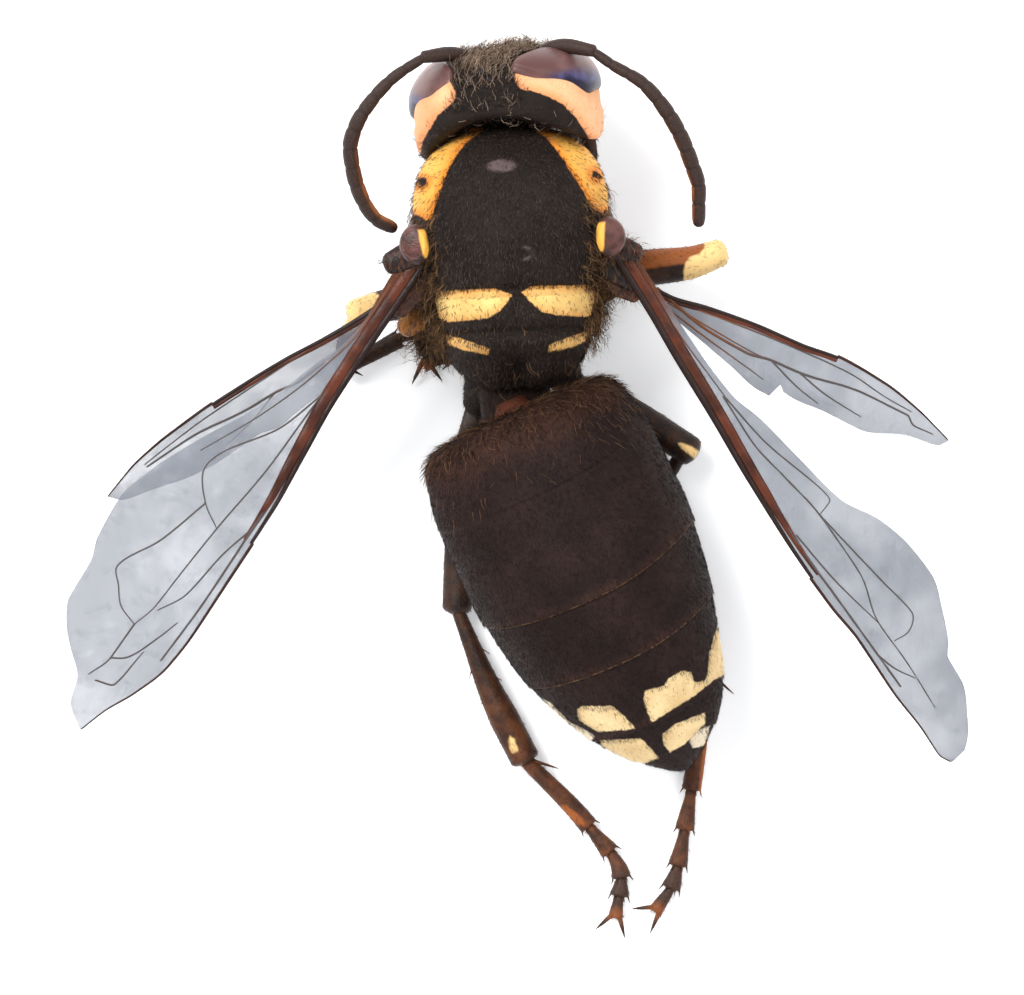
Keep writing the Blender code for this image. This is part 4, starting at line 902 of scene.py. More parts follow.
# %% Wing outlines and veins: distance from the root, and distance behind the wing's line
WINGS = {
    "forewing_left": {
        "root": (-3.06, 5.5), "along": (-0.565, -0.825), "rear": -1, "height": 5.1,
        "slope": (-0.08, -0.0042, -0.03),
        "front": [
            (-1.5, -0.5), (-0.3, -0.58), (0.8, -0.58), (1.67, -0.58), (3.43, -0.62), (5.07, -0.77),
            (6.7, -0.92),
            (9.11, -0.97), (10.32, -0.99), (11.34, -0.92), (12.32, -0.62), (13.17, -0.23), (13.9, 0.0)],
        "back": [
            (-1.5, 0.0), (-0.3, 0.0), (0.8, -0.05), (1.4, -0.1), (2.17, 0.0), (3.0, 0.3), (4.39, 0.75),
            (6.45, 1.76), (7.5, 2.2),
            (8.53, 2.46), (9.64, 2.37), (10.25, 2.17), (11.29, 2.11), (11.86, 1.81), (12.3, 1.4),
            (12.83, 0.82),
            (13.46, 0.6), (13.9, 0.0)],
        "band": (7.6, 0.17),
        "veins": [
            [(0.2, -0.3), (1.67, -0.3), (3.43, -0.4), (5.07, -0.55), (6.7, -0.7), (9.45, -0.75),
                (11.3, -0.68)],
            [(3.49, -0.27), (4.28, -0.24), (5.65, -0.2), (7.79, 0.02), (9.37, 0.14), (10.28, 0.2),
                (10.93, 0.38)],
            [(3.6, -0.25), (4.68, 0.07), (6.67, 1.13), (7.42, 0.61), (7.79, 0.02)],
            [(7.42, 0.61), (8.8, 1.01), (10.0, 1.55), (10.33, 1.27), (10.75, 0.89), (10.93, 0.38)],
            [(7.34, -0.7), (8.28, -0.46), (9.57, -0.28), (10.31, 0.09)],
            [(10.93, 0.38), (11.96, 0.4), (12.61, 0.62)],
            [(11.96, 0.4), (11.73, 0.07), (10.78, -0.34), (10.29, -0.49)],
            [(12.64, 0.4), (12.47, -0.05), (11.37, -0.2)],
            [(0.3, -0.12), (1.6, -0.16), (3.0, 0.1), (4.6, 0.62), (6.4, 1.45)],
        ],
    },
    "forewing_right": {
        "root": (2.84, 5.65), "along": (0.5436, -0.8393), "rear": 1, "height": 5.1,
        "slope": (-0.07, -0.004, -0.03),
        "front": [
            (-1.5, -0.24), (-0.3, -0.24), (1.25, -0.26), (2.47, -0.32), (4.22, -0.37), (6.04, -0.46),
            (8.09, -0.5),
            (9.81, -0.43), (10.98, -0.3), (12.48, -0.28), (13.83, -0.17), (14.43, -0.17), (14.8, 0.0)],
        "back": [
            (-1.5, 0.24), (-0.3, 0.24), (1.18, 0.24), (2.83, 0.26), (4.07, 0.36), (4.96, 0.63), (6.35, 0.92),
            (7.72, 1.22), (8.79, 1.81), (9.76, 2.07), (10.58, 2.13), (11.41, 1.89), (12.2, 1.57),
            (12.55, 1.35),
            (13.21, 1.32), (13.99, 0.99), (14.72, 0.44), (14.8, 0.0)],
        "band": (9.0, 0.16),
        "veins": [
            [(0.2, -0.04), (2.47, -0.1), (4.22, -0.15), (6.04, -0.22), (8.09, -0.26), (9.81, -0.18),
                (12.5, -0.04)],
            [(4.1, 0.2), (5.41, 0.4), (7.59, 1.01), (7.79, 0.58)],
            [(4.0, 0.16), (5.25, 0.15), (6.58, 0.37), (7.79, 0.58), (9.52, 0.64), (10.87, 0.36),
                (12.15, 0.42),
             (13.41, 0.4)],
            [(7.79, 0.58), (10.05, 1.0), (11.11, 1.2), (11.47, 0.76), (11.45, 0.45)],
            [(7.9, -0.18), (9.29, 0.0), (10.87, 0.36)],
            [(11.51, -0.1), (11.99, 0.06), (12.52, 0.38)],
            [(0.3, 0.06), (2.0, 0.08), (4.1, 0.2)],
        ],
    },
    "hindwing_right": {
        "root": (3.34, 5.18), "along": (0.887, -0.461), "rear": -1, "height": 4.0,
        "slope": (-0.1, -0.002, -0.02),
        "front": [
            (-1.6, -0.05), (-0.4, 0.0), (0.5, 0.0), (1.6, -0.2), (2.89, -0.38), (4.06, -0.46), (5.19, -0.6),
            (6.34, -0.54), (7.38, -0.34), (8.05, -0.13), (8.44, 0.0)],
        "back": [
            (-1.6, 0.25), (-0.4, 0.3), (0.57, 0.42), (1.52, 0.6), (2.66, 0.86), (3.67, 1.09), (3.92, 1.09),
            (4.04, 0.72), (4.2, 0.84), (4.55, 0.87), (5.36, 0.8), (6.29, 0.79), (7.47, 0.37), (8.24, 0.24),
            (8.44, 0.0)],
        "band": (5.0, 0.065),
        "veins": [
            [(0.2, 0.0), (1.87, 0.36), (2.91, 0.4), (3.55, 0.28), (4.32, 0.23), (6.02, -0.06), (7.24, -0.08)],
            [(3.55, 0.28), (4.5, 0.59), (5.1, 0.7)],
            [(0.5, 0.12), (2.23, -0.1), (3.64, -0.24), (5.42, -0.34), (6.6, -0.22), (7.26, -0.2)],
            [(0.6, 0.2), (2.0, 0.28), (3.1, 0.32), (3.55, 0.28)],
            [(0.8, 0.36), (2.0, 0.56), (3.1, 0.72), (3.6, 0.8)],
            [(4.32, 0.23), (5.2, 0.42), (6.2, 0.5)],
            [(7.24, -0.08), (7.5, 0.08), (8.0, 0.05)],
        ],
    },
    "hindwing_left": {
        "root": (-3.29, 4.75), "along": (-0.819, -0.573), "rear": 1, "height": 3.95,
        "slope": (-0.115, -0.002, -0.02),
        "front": [
            (-1.6, -0.1), (-0.4, -0.08), (0.5, -0.06), (1.6, -0.14), (2.89, -0.3), (4.06, -0.38),
            (5.19, -0.42),
            (6.34, -0.4), (7.38, -0.3), (8.05, -0.13), (8.5, 0.0)],
        "back": [
            (-1.6, 0.25), (-0.4, 0.26), (0.57, 0.42), (1.32, 0.75), (2.36, 0.96), (3.4, 1.0), (3.92, 1.05),
            (4.55, 0.9), (5.36, 0.9), (6.29, 0.82), (7.47, 0.5), (8.2, 0.3), (8.5, 0.0)],
        "band": (5.0, 0.065),
        "veins": [
            [(0.2, 0.0), (1.87, 0.36), (2.91, 0.4), (3.55, 0.28), (4.32, 0.23), (6.02, -0.02), (7.24, -0.04)],
            [(3.55, 0.28), (4.5, 0.55), (5.3, 0.66)],
            [(0.2, -0.04), (2.23, -0.12), (3.64, -0.16), (5.42, -0.2), (6.6, -0.16), (7.26, -0.12)],
        ],
    },
}
FILM = 0.014

# %% Film and veins


def wing_ways(shape):
    """A wing's directions, seen from above: along its line to the tip, and square to it towards the rear."""
    along = np.array(shape["along"]) / math.hypot(*shape["along"])
    return along, np.array([-along[1], along[0]]) * shape["rear"]


def on_wing(shape, u, v, lift=0.0):
    """The place of a point given by its distances along and behind the wing's line."""
    along, back = wing_ways(shape)
    a, b, c = shape["slope"]
    reach = np.maximum(u, 0.0)
    wave = 0.035 * np.sin(v * 5.5 + u * 0.9) * np.clip(u / 4, 0, 1) + 0.02 * np.sin(u * 7.1 + v * 2.0)
    z = shape["height"] + a * reach + b * reach * reach + c * v + wave * np.clip(u / 2, 0, 1) + lift
    flat = np.array(shape["root"]) + np.outer(u, along) + np.outer(v, back)
    return np.concatenate([flat, z[:, None]], 1)


def wing_film(name, shape):
    front = np.array(shape["front"])
    back = np.array(shape["back"])
    u = np.unique(np.concatenate([np.linspace(front[0, 0], front[-1, 0] - 0.01, 150), back[1:-1, 0]]))
    v0 = curve(front[:, 0], front[:, 1])(u)
    v1 = curve(back[:, 0], back[:, 1])(u)
    across = np.linspace(0, 1, 34)
    rings = []
    for k in range(len(u)):
        v = v0[k] + (v1[k] - v0[k]) * across
        line = np.full_like(v, u[k])
        top = on_wing(shape, line, v, FILM)
        low = on_wing(shape, line[::-1], v[::-1], -FILM)
        rings.append(np.concatenate([top, low]))
    film = sleeve(name + "_film", rings)
    store(film, "far", (positions(film)[:, :2] + SHIFT - np.array(shape["root"])) @ wing_ways(shape)[0])
    store(film, "dense", np.full(len(film.data.vertices), 0.1 if "right" in name else 0.0))
    store(film, "stained", np.full(len(film.data.vertices), 1.0 if "fore" in name else 0.25))
    return film


def toned(piece, band):
    """Says how much of the front edge's red-brown a vein has: 2 is its black outer line."""
    store(piece, "band", np.full(len(piece.data.vertices), band))
    return piece


def wing_veins(name, shape):
    front = np.array(shape["front"])
    parts = []
    reach, wide = shape["band"]
    u = np.linspace(-1.2, reach, 60)
    v = curve(front[:, 0], front[:, 1])(u)
    tip = np.linspace(reach, front[-1, 0] - 0.05, 50)
    lead = on_wing(shape, u, v + 0.05)
    rim = 0.1 if wide > 0.12 else 0.06
    parts.append(toned(tube(name + "_edge", lead, [rim, rim, rim * 0.8, 0.045], 10, 90), 2.0))
    middle = on_wing(shape, u, v + 0.06 + wide)
    parts.append(toned(tube(name + "_band", middle, [wide, wide, wide * 0.9, 0.05], 14, 90, 0.42), 1.0))
    rest = on_wing(shape, tip, curve(front[:, 0], front[:, 1])(tip) + 0.01)
    parts.append(toned(tube(name + "_tip", rest, [0.045, 0.035, 0.02], 8, 60), 1.6))
    for k, vein in enumerate(shape["veins"]):
        line = along_path(vein, 40)
        width = 0.027 if k else 0.04
        path = on_wing(shape, line[:, 0], line[:, 1])
        parts.append(toned(tube(f"{name}_vein_{k}", path, [width, width * 0.9, width * 0.7], 8, 48), 0.0))
    made = joined(name + "_veins", parts)
    store(made, "far", (positions(made)[:, :2] + SHIFT - np.array(shape["root"])) @ wing_ways(shape)[0])
    return made


films, veins = {}, {}
for name, shape in WINGS.items():
    films[name] = wing_film(name, shape)
    veins[name] = wing_veins(name, shape)
    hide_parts(name)
print("film points", [len(f.data.vertices) for f in films.values()])

# %% Scales over the wing roots
TEGULAE = {"tegula_left": (-2.5, 6.14, 6.02), "tegula_right": (2.3, 6.34, 6.02)}
tegulae = []
for name, place in TEGULAE.items():
    side = math.copysign(1, place[0])
    turn = turned(place, 5, 14 * side)
    around = np.linspace(0, 2 * np.pi, 41)[:-1]
    rings = []
    for a in np.linspace(0.08, math.pi - 0.08, 26):
        wide = math.sin(a) ** 0.8
        tall = math.cos(a) * (0.2 if a < math.pi / 2 else 0.16)
        x = 0.38 * wide * np.cos(around) + 0.04 * side
        y = 0.5 * wide * np.sin(around) * (1 - 0.12 * np.cos(around) * side)
        z = tall + 0.04 * bump(wide * np.ones_like(x) - 0.8, 0.08)
        rings.append(moved(np.stack([x, y, z * np.ones_like(x)], 1), turn))
    scale = sleeve(name + "_scale", rings)
    local = moved(measured(scale), np.linalg.inv(turn))
    strip = 0.08 - np.abs(local[:, 0] * side + 0.25 - 0.12 * local[:, 1])
    store(scale, "depth", np.minimum(strip, 0.36 - np.abs(local[:, 1])))
    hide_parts(name)
    tegulae.append(scale)

# %% [markdown]
# ## Between wing and body
# A wing is hinged by small hard plates and folded brown membrane. They are low rounded lumps, each a
# short flattened sleeve, and they close the space between the body and the wing roots.

# %% Wing bases
WING_BASES = {
    "left": (
        ([(-2.35, 6.0, 5.1), (-3.1, 5.7, 5.05)], [0.34, 0.36, 0.3], 0.6, 0.2),
        ([(-2.3, 5.75, 4.9), (-2.6, 5.1, 4.7), (-2.95, 4.55, 4.5)], [0.4, 0.42, 0.26], 0.4, 0.45),
        ([(-2.0, 5.6, 4.6), (-2.2, 4.9, 4.4)], [0.35, 0.35, 0.3], 0.6, 0.0),
        ([(-2.35, 4.42, 3.75), (-2.75, 4.12, 3.6)], [0.25, 0.31, 0.27], 0.8, 1.0),
        ([(-2.1, 4.9, 4.0), (-2.9, 4.75, 3.9)], [0.3, 0.28, 0.22], 0.7, 0.3),
    ),
    "right": (
        ([(2.35, 6.1, 5.1), (2.95, 5.95, 5.05)], [0.32, 0.33, 0.26], 0.6, 0.25),
        ([(2.25, 5.7, 4.9), (2.85, 5.3, 4.8)], [0.36, 0.36, 0.3], 0.5, 0.0),
        ([(2.3, 5.45, 4.7), (2.95, 4.9, 4.5)], [0.36, 0.34, 0.2], 0.4, 0.5),
        ([(2.1, 5.3, 4.0), (3.1, 5.2, 3.95)], [0.32, 0.3, 0.24], 0.7, 0.3),
    ),
}
wing_bases = []
for name, lumps in WING_BASES.items():
    parts = []
    for k, (line, radii, flat, tone) in enumerate(lumps):
        lump = tube(f"lump_{k}_{name}", line, radii, 20, 16, flat, 0.8)
        store(lump, "tone", np.full(len(lump.data.vertices), tone))
        parts.append(lump)
    wing_bases.append(joined("wing_base_" + name, parts))
print("wing bases", len(wing_bases))

# %% [markdown]
# ## Finishes
# One shell material serves the whole skin. It reads the stored depth, tint and ground, breaks them up
# with two scales of noise, and adds fine grain to the surface. The groups below hold the effects that
# several finishes share, and they only give out values and colours.

# %% Node helpers


def new_material(name, roughness=0.5, **fixed):
    material = bpy.data.materials.new(name)
    material.use_nodes = True
    shader = material.node_tree.nodes["Principled BSDF"]
    shader.inputs["Roughness"].default_value = roughness
    for socket, value in fixed.items():
        shader.inputs[socket.replace("_", " ")].default_value = value
    return material, material.node_tree, shader


def node(tree, kind, **settings):
    made = tree.nodes.new(kind)
    inputs = settings.pop("inputs", {})
    for key, value in settings.items():
        setattr(made, key, value)
    for key, value in inputs.items():
        if isinstance(value, bpy.types.NodeSocket):
            tree.links.new(value, made.inputs[key])
        else:
            made.inputs[key].default_value = value
    return made


def painted(pieces, finish):
    for piece in pieces:
        piece.data.materials.clear()
        piece.data.materials.append(finish)


def attribute(tree, name, output="Fac"):
    return node(tree, "ShaderNodeAttribute", attribute_name=name).outputs[output]


def mixed(tree, share, a, b, blend="MIX"):
    made = tree.nodes.new("ShaderNodeMix")
    made.data_type = "RGBA"
    made.blend_type = blend
    for index, value in ((0, share), (6, a), (7, b)):
        if isinstance(value, bpy.types.NodeSocket):
            tree.links.new(value, made.inputs[index])
        else:
            made.inputs[index].default_value = value if index == 0 else (*value, 1.0)
    return made.outputs[2]


def maths(tree, operation, a, b=0.0, clamp=False):
    made = tree.nodes.new("ShaderNodeMath")
    made.operation = operation
    made.use_clamp = clamp
    for index, value in ((0, a), (1, b)):
        if isinstance(value, bpy.types.NodeSocket):
            tree.links.new(value, made.inputs[index])
        else:
            made.inputs[index].default_value = value
    return made.outputs[0]


def spread(tree, value, low, high, to_low=0.0, to_high=1.0):
    made = node(tree, "ShaderNodeMapRange", inputs={"Value": value})
    made.interpolation_type = "SMOOTHSTEP"
    for key, number in (("From Min", low), ("From Max", high), ("To Min", to_low), ("To Max", to_high)):
        made.inputs[key].default_value = number
    return made.outputs["Result"]


# %% Shared effects


def new_group(name, inputs, outputs):
    group = bpy.data.node_groups.new(name, "ShaderNodeTree")
    for label, kind, value in inputs:
        socket = group.interface.new_socket(label, in_out="INPUT", socket_type=kind)
        socket.default_value = value
    for label, kind in outputs:
        group.interface.new_socket(label, in_out="OUTPUT", socket_type=kind)
    return group, group.nodes.new("NodeGroupInput"), group.nodes.new("NodeGroupOutput")


mottle, given, made = new_group(
    "mottle",
    [("Scale", "NodeSocketFloat", 2000.0), ("Fine Scale", "NodeSocketFloat", 14000.0),
     ("Stretch", "NodeSocketVector", (1.0, 1.0, 1.0))],
    [("Broad", "NodeSocketFloat"), ("Fine", "NodeSocketFloat")],
)
place = node(mottle, "ShaderNodeTexCoord").outputs["Object"]
scaled = node(
    mottle, "ShaderNodeVectorMath", operation="MULTIPLY", inputs={0: place, 1: given.outputs["Stretch"]})
for label, scale in (("Broad", "Scale"), ("Fine", "Fine Scale")):
    cloud = node(mottle, "ShaderNodeTexNoise", inputs={
        "Vector": scaled.outputs[0], "Scale": given.outputs[scale], "Detail": 3.0, "Roughness": 0.55})
    mottle.links.new(cloud.outputs["Fac"], made.inputs[label])

mark_edge, given, made = new_group(
    "mark_edge",
    [("Depth", "NodeSocketFloat", 0.0), ("Waver", "NodeSocketFloat", 0.5),
     ("Amount", "NodeSocketFloat", 0.08), ("Softness", "NodeSocketFloat", 0.02)],
    [("Mask", "NodeSocketFloat")],
)
shift = maths(mark_edge, "SUBTRACT", given.outputs["Waver"], 0.5)
shift = maths(mark_edge, "MULTIPLY", shift, given.outputs["Amount"])
total = maths(mark_edge, "ADD", given.outputs["Depth"], shift)
total = maths(mark_edge, "DIVIDE", total, given.outputs["Softness"])
mark_edge.links.new(maths(mark_edge, "ADD", total, 0.5, clamp=True), made.inputs["Mask"])


def placed(tree, group, **inputs):
    made = tree.nodes.new("ShaderNodeGroup")
    made.node_tree = group
    for key, value in inputs.items():
        socket = made.inputs[key.replace("_", " ")]
        if isinstance(value, bpy.types.NodeSocket):
            tree.links.new(value, socket)
        else:
            socket.default_value = value
    return made.outputs


def roughen(tree, shader, height, distance):
    made = node(tree, "ShaderNodeBump", inputs={"Height": height, "Distance": distance, "Strength": 1.0})
    tree.links.new(made.outputs["Normal"], shader.inputs["Normal"])


def mark(tree, name, waver, amount, softness):
    """A mask from a stored depth, with its edge broken up by noise."""
    depth = attribute(tree, name)
    return placed(tree, mark_edge, Depth=depth, Waver=waver, Amount=amount, Softness=softness)["Mask"]


# %% Shell of the body
shell_finish, tree, shader = new_material("shell", 0.5, Specular_IOR_Level=0.1)
broad = placed(tree, mottle, Scale=900.0, Fine_Scale=9000.0)
fine = placed(tree, mottle, Scale=30000.0, Fine_Scale=70000.0)
mask = mark(tree, "depth", broad["Fine"], 0.09, 0.035)
rim = mark(tree, "rim", broad["Fine"], 0.03, 0.02)
dark = mixed(tree, spread(tree, broad["Broad"], 0.35, 0.65), (0.8, 0.8, 0.8), (1.35, 1.3, 1.25))
ground = mixed(tree, 1.0, attribute(tree, "ground", "Color"), dark, "MULTIPLY")
ground = mixed(tree, spread(tree, fine["Broad"], 0.5, 0.8), ground, (0.032, 0.021, 0.018))
veined = mixed(tree, spread(tree, broad["Broad"], 0.3, 0.7), (0.86, 0.78, 0.7), (1.08, 1.08, 1.1))
pale = mixed(tree, 1.0, attribute(tree, "tint", "Color"), veined, "MULTIPLY")
edge = maths(tree, "MULTIPLY", spread(tree, attribute(tree, "depth"), 0.28, 0.0), attribute(tree, "glow"))
pale = mixed(tree, edge, pale, mixed(tree, 1.0, pale, (0.93, 0.58, 0.36), "MULTIPLY"))
wrinkle = node(tree, "ShaderNodeTexVoronoi", feature="DISTANCE_TO_EDGE", inputs={
    "Vector": node(tree, "ShaderNodeTexCoord").outputs["Object"], "Scale": 6500.0})
line = maths(tree, "MULTIPLY", spread(tree, wrinkle.outputs["Distance"], 0.05, 0.0), 0.3)
pale = mixed(tree, line, pale, mixed(tree, 1.0, pale, (0.6, 0.42, 0.3), "MULTIPLY"))
colour = mixed(tree, mask, ground, pale)
broken = maths(tree, "MULTIPLY", rim, spread(tree, broad["Fine"], 0.4, 0.6, 0.15, 0.9))
colour = mixed(tree, broken, colour, (0.17, 0.085, 0.035))
tree.links.new(colour, shader.inputs["Base Color"])
tree.links.new(spread(tree, fine["Broad"], 0.3, 0.7, 0.42, 0.6), shader.inputs["Roughness"])
grain = maths(tree, "ADD", fine["Broad"], maths(tree, "MULTIPLY", broad["Fine"], 1.2))
roughen(tree, shader, grain, 0.000022)
painted([skin], shell_finish)

# %% Eyes and beads
eye_finish, tree, shader = new_material(
    "eye", 0.3, Specular_IOR_Level=0.2, Coat_Weight=0.2, Coat_IOR=1.3, Coat_Roughness=0.15)
facets = node(tree, "ShaderNodeTexVoronoi", inputs={
    "Vector": node(tree, "ShaderNodeTexCoord").outputs["Object"], "Scale": 42000.0, "Randomness": 0.35})
cloud = placed(tree, mottle, Scale=700.0, Fine_Scale=3000.0)
plum = mixed(tree, spread(tree, cloud["Broad"], 0.35, 0.65), (0.11, 0.05, 0.045), (0.23, 0.12, 0.11))
violet = mixed(tree, spread(tree, cloud["Fine"], 0.35, 0.65), (0.03, 0.026, 0.07), (0.075, 0.07, 0.17))
plum = mixed(tree, spread(tree, attribute(tree, "depth"), 0.3, 0.08), plum, violet)
plum = mixed(tree, spread(tree, attribute(tree, "depth"), 0.1, 0.03), plum, (0.012, 0.008, 0.012))
tree.links.new(plum, shader.inputs["Base Color"])
roughen(tree, shader, facets.outputs["Distance"], 0.000006)
painted((*eyes.values(), ocelli), eye_finish)
for (name, eye), side in zip(eyes.items(), (-1, 1)):
    local = moved(measured(eye), np.linalg.inv(HEAD))
    slid = local[:, 1].copy()
    for _ in range(4):
        ahead = np.clip(local[:, 1] / HEAD_FRONT, 0, 1) ** 1.25
        local[:, 1] = slid + eye_slide(np.abs(local[:, 0]) * 2 / HEAD_WIDTH, ahead, side)
    way, inside = against_eye(local)
    inside *= HEAD_WIDTH / 2
    store(eye, "depth", np.maximum(inside, 0.05) + 0.3 * np.clip((0.8 - np.abs(way[:, 0])) / 0.25, 0, 1))

# %% Feelers
feeler_finish, tree, shader = new_material("feeler", 0.5, Specular_IOR_Level=0.25)
clouds = placed(tree, mottle, Scale=3000.0, Fine_Scale=32000.0)
far = attribute(tree, "far")
brown = mixed(tree, spread(tree, clouds["Fine"], 0.3, 0.7), (0.018, 0.01, 0.008), (0.052, 0.026, 0.019))
warm = mixed(tree, spread(tree, clouds["Broad"], 0.3, 0.7), (0.32, 0.11, 0.035), (0.16, 0.055, 0.02))
low = spread(tree, attribute(tree, "under"), 0.3, 0.75)
share = maths(tree, "MULTIPLY", spread(tree, far, 2.0, 4.2), low)
brown = mixed(tree, share, brown, warm)
brown = mixed(tree, maths(tree, "MULTIPLY", attribute(tree, "joint"), 0.45), brown, (0.014, 0.006, 0.004))
tree.links.new(brown, shader.inputs["Base Color"])
roughen(tree, shader, clouds["Fine"], 0.000015)
painted(feelers.values(), feeler_finish)

# %% Legs
KNEE_MARKS = {
    "mid_right": (1.6, [
        (4.23, 5.0), (4.23, 5.74), (4.45, 5.9), (4.7, 6.08), (4.74, 6.6), (5.8, 6.8), (5.8, 5.4),
        (4.9, 5.1)]),
    "mid_left": (1.7, [(-4.7, 5.0), (-3.5, 5.0), (-3.5, 4.5), (-3.95, 4.1), (-4.6, 4.0)]),
    "hind_right": (0.9, [(4.1, 1.25), (4.45, 1.1), (4.75, 0.9), (4.6, 0.75), (4.35, 0.95), (4.1, 1.15)]),
    "hind_left": (0.55, [(-0.22, -6.15), (-0.08, -6.18), (0.02, -6.5), (-0.08, -6.58), (-0.18, -6.4)]),
}
STRIPES = {
    "mid_right": (1.5, [(2.4, 5.66), (4.23, 5.72), (4.9, 6.1), (4.9, 6.7), (2.4, 6.6)]),
    "hind_left": (0.2, [(1.1, -7.95), (1.28, -7.9), (1.72, -8.3), (1.6, -8.42)]),
    "hind_right": (0.2, [(4.75, -6.2), (4.85, -6.2), (4.72, -7.7), (4.58, -7.7)]),
}
for name, leg in legs.items():
    where = measured(leg)
    for label, table in (("depth", KNEE_MARKS), ("warm", STRIPES)):
        low, outline = table.get(name, (9.0, [(0, 0), (0, 1), (1, 0)]))
        found = np.minimum(depth_in(where[:, :2], rounded(outline, 4)), where[:, 2] - low)
        store(leg, label, found)
    end = np.array(LEGS[name]["tarsus"][-1])
    foot = np.array(LEGS[name]["tarsus"][0])
    hip = np.array(LEGS[name]["femur"][0])
    store(leg, "end", np.linalg.norm(where - end, axis=1))
    share = np.linalg.norm(where - hip, axis=1) / max(np.linalg.norm(foot - hip), 6.0)
    store(leg, "along", share)
leg_finish, tree, shader = new_material("leg", 0.42, Specular_IOR_Level=0.22)
clouds = placed(tree, mottle, Scale=2200.0, Fine_Scale=24000.0)
mask = mark(tree, "depth", clouds["Broad"], 0.12, 0.06)
stripe = mark(tree, "warm", clouds["Broad"], 0.1, 0.07)
dark = mixed(tree, spread(tree, clouds["Broad"], 0.35, 0.65), (0.016, 0.009, 0.007), (0.045, 0.019, 0.01))
brown = mixed(tree, spread(tree, clouds["Broad"], 0.3, 0.7), (0.04, 0.015, 0.008), (0.13, 0.042, 0.015))
brown = mixed(tree, spread(tree, attribute(tree, "along"), 0.5, 1.0), dark, brown)
brown = mixed(tree, spread(tree, attribute(tree, "end"), 1.6, 0.9), brown, (0.05, 0.024, 0.015))
brown = mixed(tree, spread(tree, attribute(tree, "end"), 0.35, 0.1), brown, (0.24, 0.07, 0.02))
brown = mixed(tree, stripe, brown, (0.3, 0.085, 0.018))
tree.links.new(mixed(tree, mask, brown, (0.86, 0.58, 0.24)), shader.inputs["Base Color"])
roughen(tree, shader, clouds["Fine"], 0.00002)
painted(legs.values(), leg_finish)

# %% Scales and jaws
scale_finish, tree, shader = new_material("wing_scale", 0.35, Specular_IOR_Level=0.3)
clouds = placed(tree, mottle, Scale=1500.0, Fine_Scale=20000.0)
mask = mark(tree, "depth", clouds["Broad"], 0.08, 0.05)
mauve = mixed(tree, spread(tree, clouds["Broad"], 0.4, 0.62), (0.03, 0.012, 0.009), (0.11, 0.04, 0.033))
tree.links.new(mixed(tree, mask, mauve, (0.85, 0.42, 0.07)), shader.inputs["Base Color"])
roughen(tree, shader, clouds["Fine"], 0.000015)
painted(tegulae, scale_finish)
base_finish, tree, shader = new_material("wing_base", 0.45, Specular_IOR_Level=0.3)
clouds = placed(tree, mottle, Scale=1700.0, Fine_Scale=9000.0, Stretch=(1.0, 0.4, 1.0))
tone = maths(tree, "ADD", attribute(tree, "tone"), spread(tree, clouds["Fine"], 0.3, 0.7, -0.3, 0.25))
brown = mixed(tree, spread(tree, tone, 0.0, 0.6), (0.012, 0.007, 0.006), (0.085, 0.026, 0.012))
brown = mixed(tree, spread(tree, tone, 0.6, 1.1), brown, (0.32, 0.12, 0.02))
tree.links.new(brown, shader.inputs["Base Color"])
roughen(tree, shader, clouds["Fine"], 0.00005)
painted(wing_bases, base_finish)
jaw_finish, tree, shader = new_material("jaw", 0.35)
clouds = placed(tree, mottle, Scale=1800.0, Fine_Scale=20000.0)
mask = mark(tree, "depth", clouds["Broad"], 0.15, 0.1)
tree.links.new(mixed(tree, mask, (0.03, 0.012, 0.008), (0.72, 0.6, 0.4)), shader.inputs["Base Color"])
roughen(tree, shader, clouds["Fine"], 0.000015)
painted(jaws, jaw_finish)

# %% Wing film and veins
film_finish, tree, shader = new_material("wing_film", 0.25, Specular_IOR_Level=0.3)
clouds = placed(tree, mottle, Scale=380.0, Fine_Scale=2600.0)
creases = placed(tree, mottle, Scale=5200.0, Fine_Scale=30000.0, Stretch=(1.0, 0.35, 1.0))
root = maths(tree, "MULTIPLY", spread(tree, attribute(tree, "far"), 2.6, 0.8), attribute(tree, "stained"))
cell = spread(tree, clouds["Broad"], 0.42, 0.6)
grey = mixed(tree, cell, (0.2, 0.215, 0.25), (0.27, 0.285, 0.32))
grey = mixed(tree, root, grey, (0.1, 0.035, 0.018))
tree.links.new(grey, shader.inputs["Base Color"])
body = spread(tree, clouds["Broad"], 0.4, 0.6, 0.55, 0.47)
body = maths(tree, "ADD", body, spread(tree, clouds["Fine"], 0.5, 0.75, 0.0, 0.06))
body = maths(tree, "ADD", body, attribute(tree, "dense"))
body = maths(tree, "ADD", body, maths(tree, "MULTIPLY", root, 0.5), clamp=True)
tree.links.new(body, shader.inputs["Alpha"])
roughen(tree, shader, maths(tree, "ADD", creases["Broad"], clouds["Fine"]), 0.00005)
painted(films.values(), film_finish)
vein_finish, tree, shader = new_material("wing_vein", 0.38, Specular_IOR_Level=0.22)
clouds = placed(tree, mottle, Scale=1200.0, Fine_Scale=18000.0)
band = attribute(tree, "band")
red = mixed(tree, spread(tree, clouds["Broad"], 0.35, 0.65), (0.04, 0.011, 0.006), (0.1, 0.024, 0.01))
thin = mixed(tree, spread(tree, attribute(tree, "far"), 4.0, 1.5), (0.075, 0.063, 0.06), (0.15, 0.055, 0.022))
tone = mixed(tree, band, thin, red)
tone = mixed(tree, spread(tree, band, 1.2, 1.8), tone, (0.02, 0.009, 0.007))
tree.links.new(tone, shader.inputs["Base Color"])
roughen(tree, shader, clouds["Fine"], 0.000012)
painted(veins.values(), vein_finish)

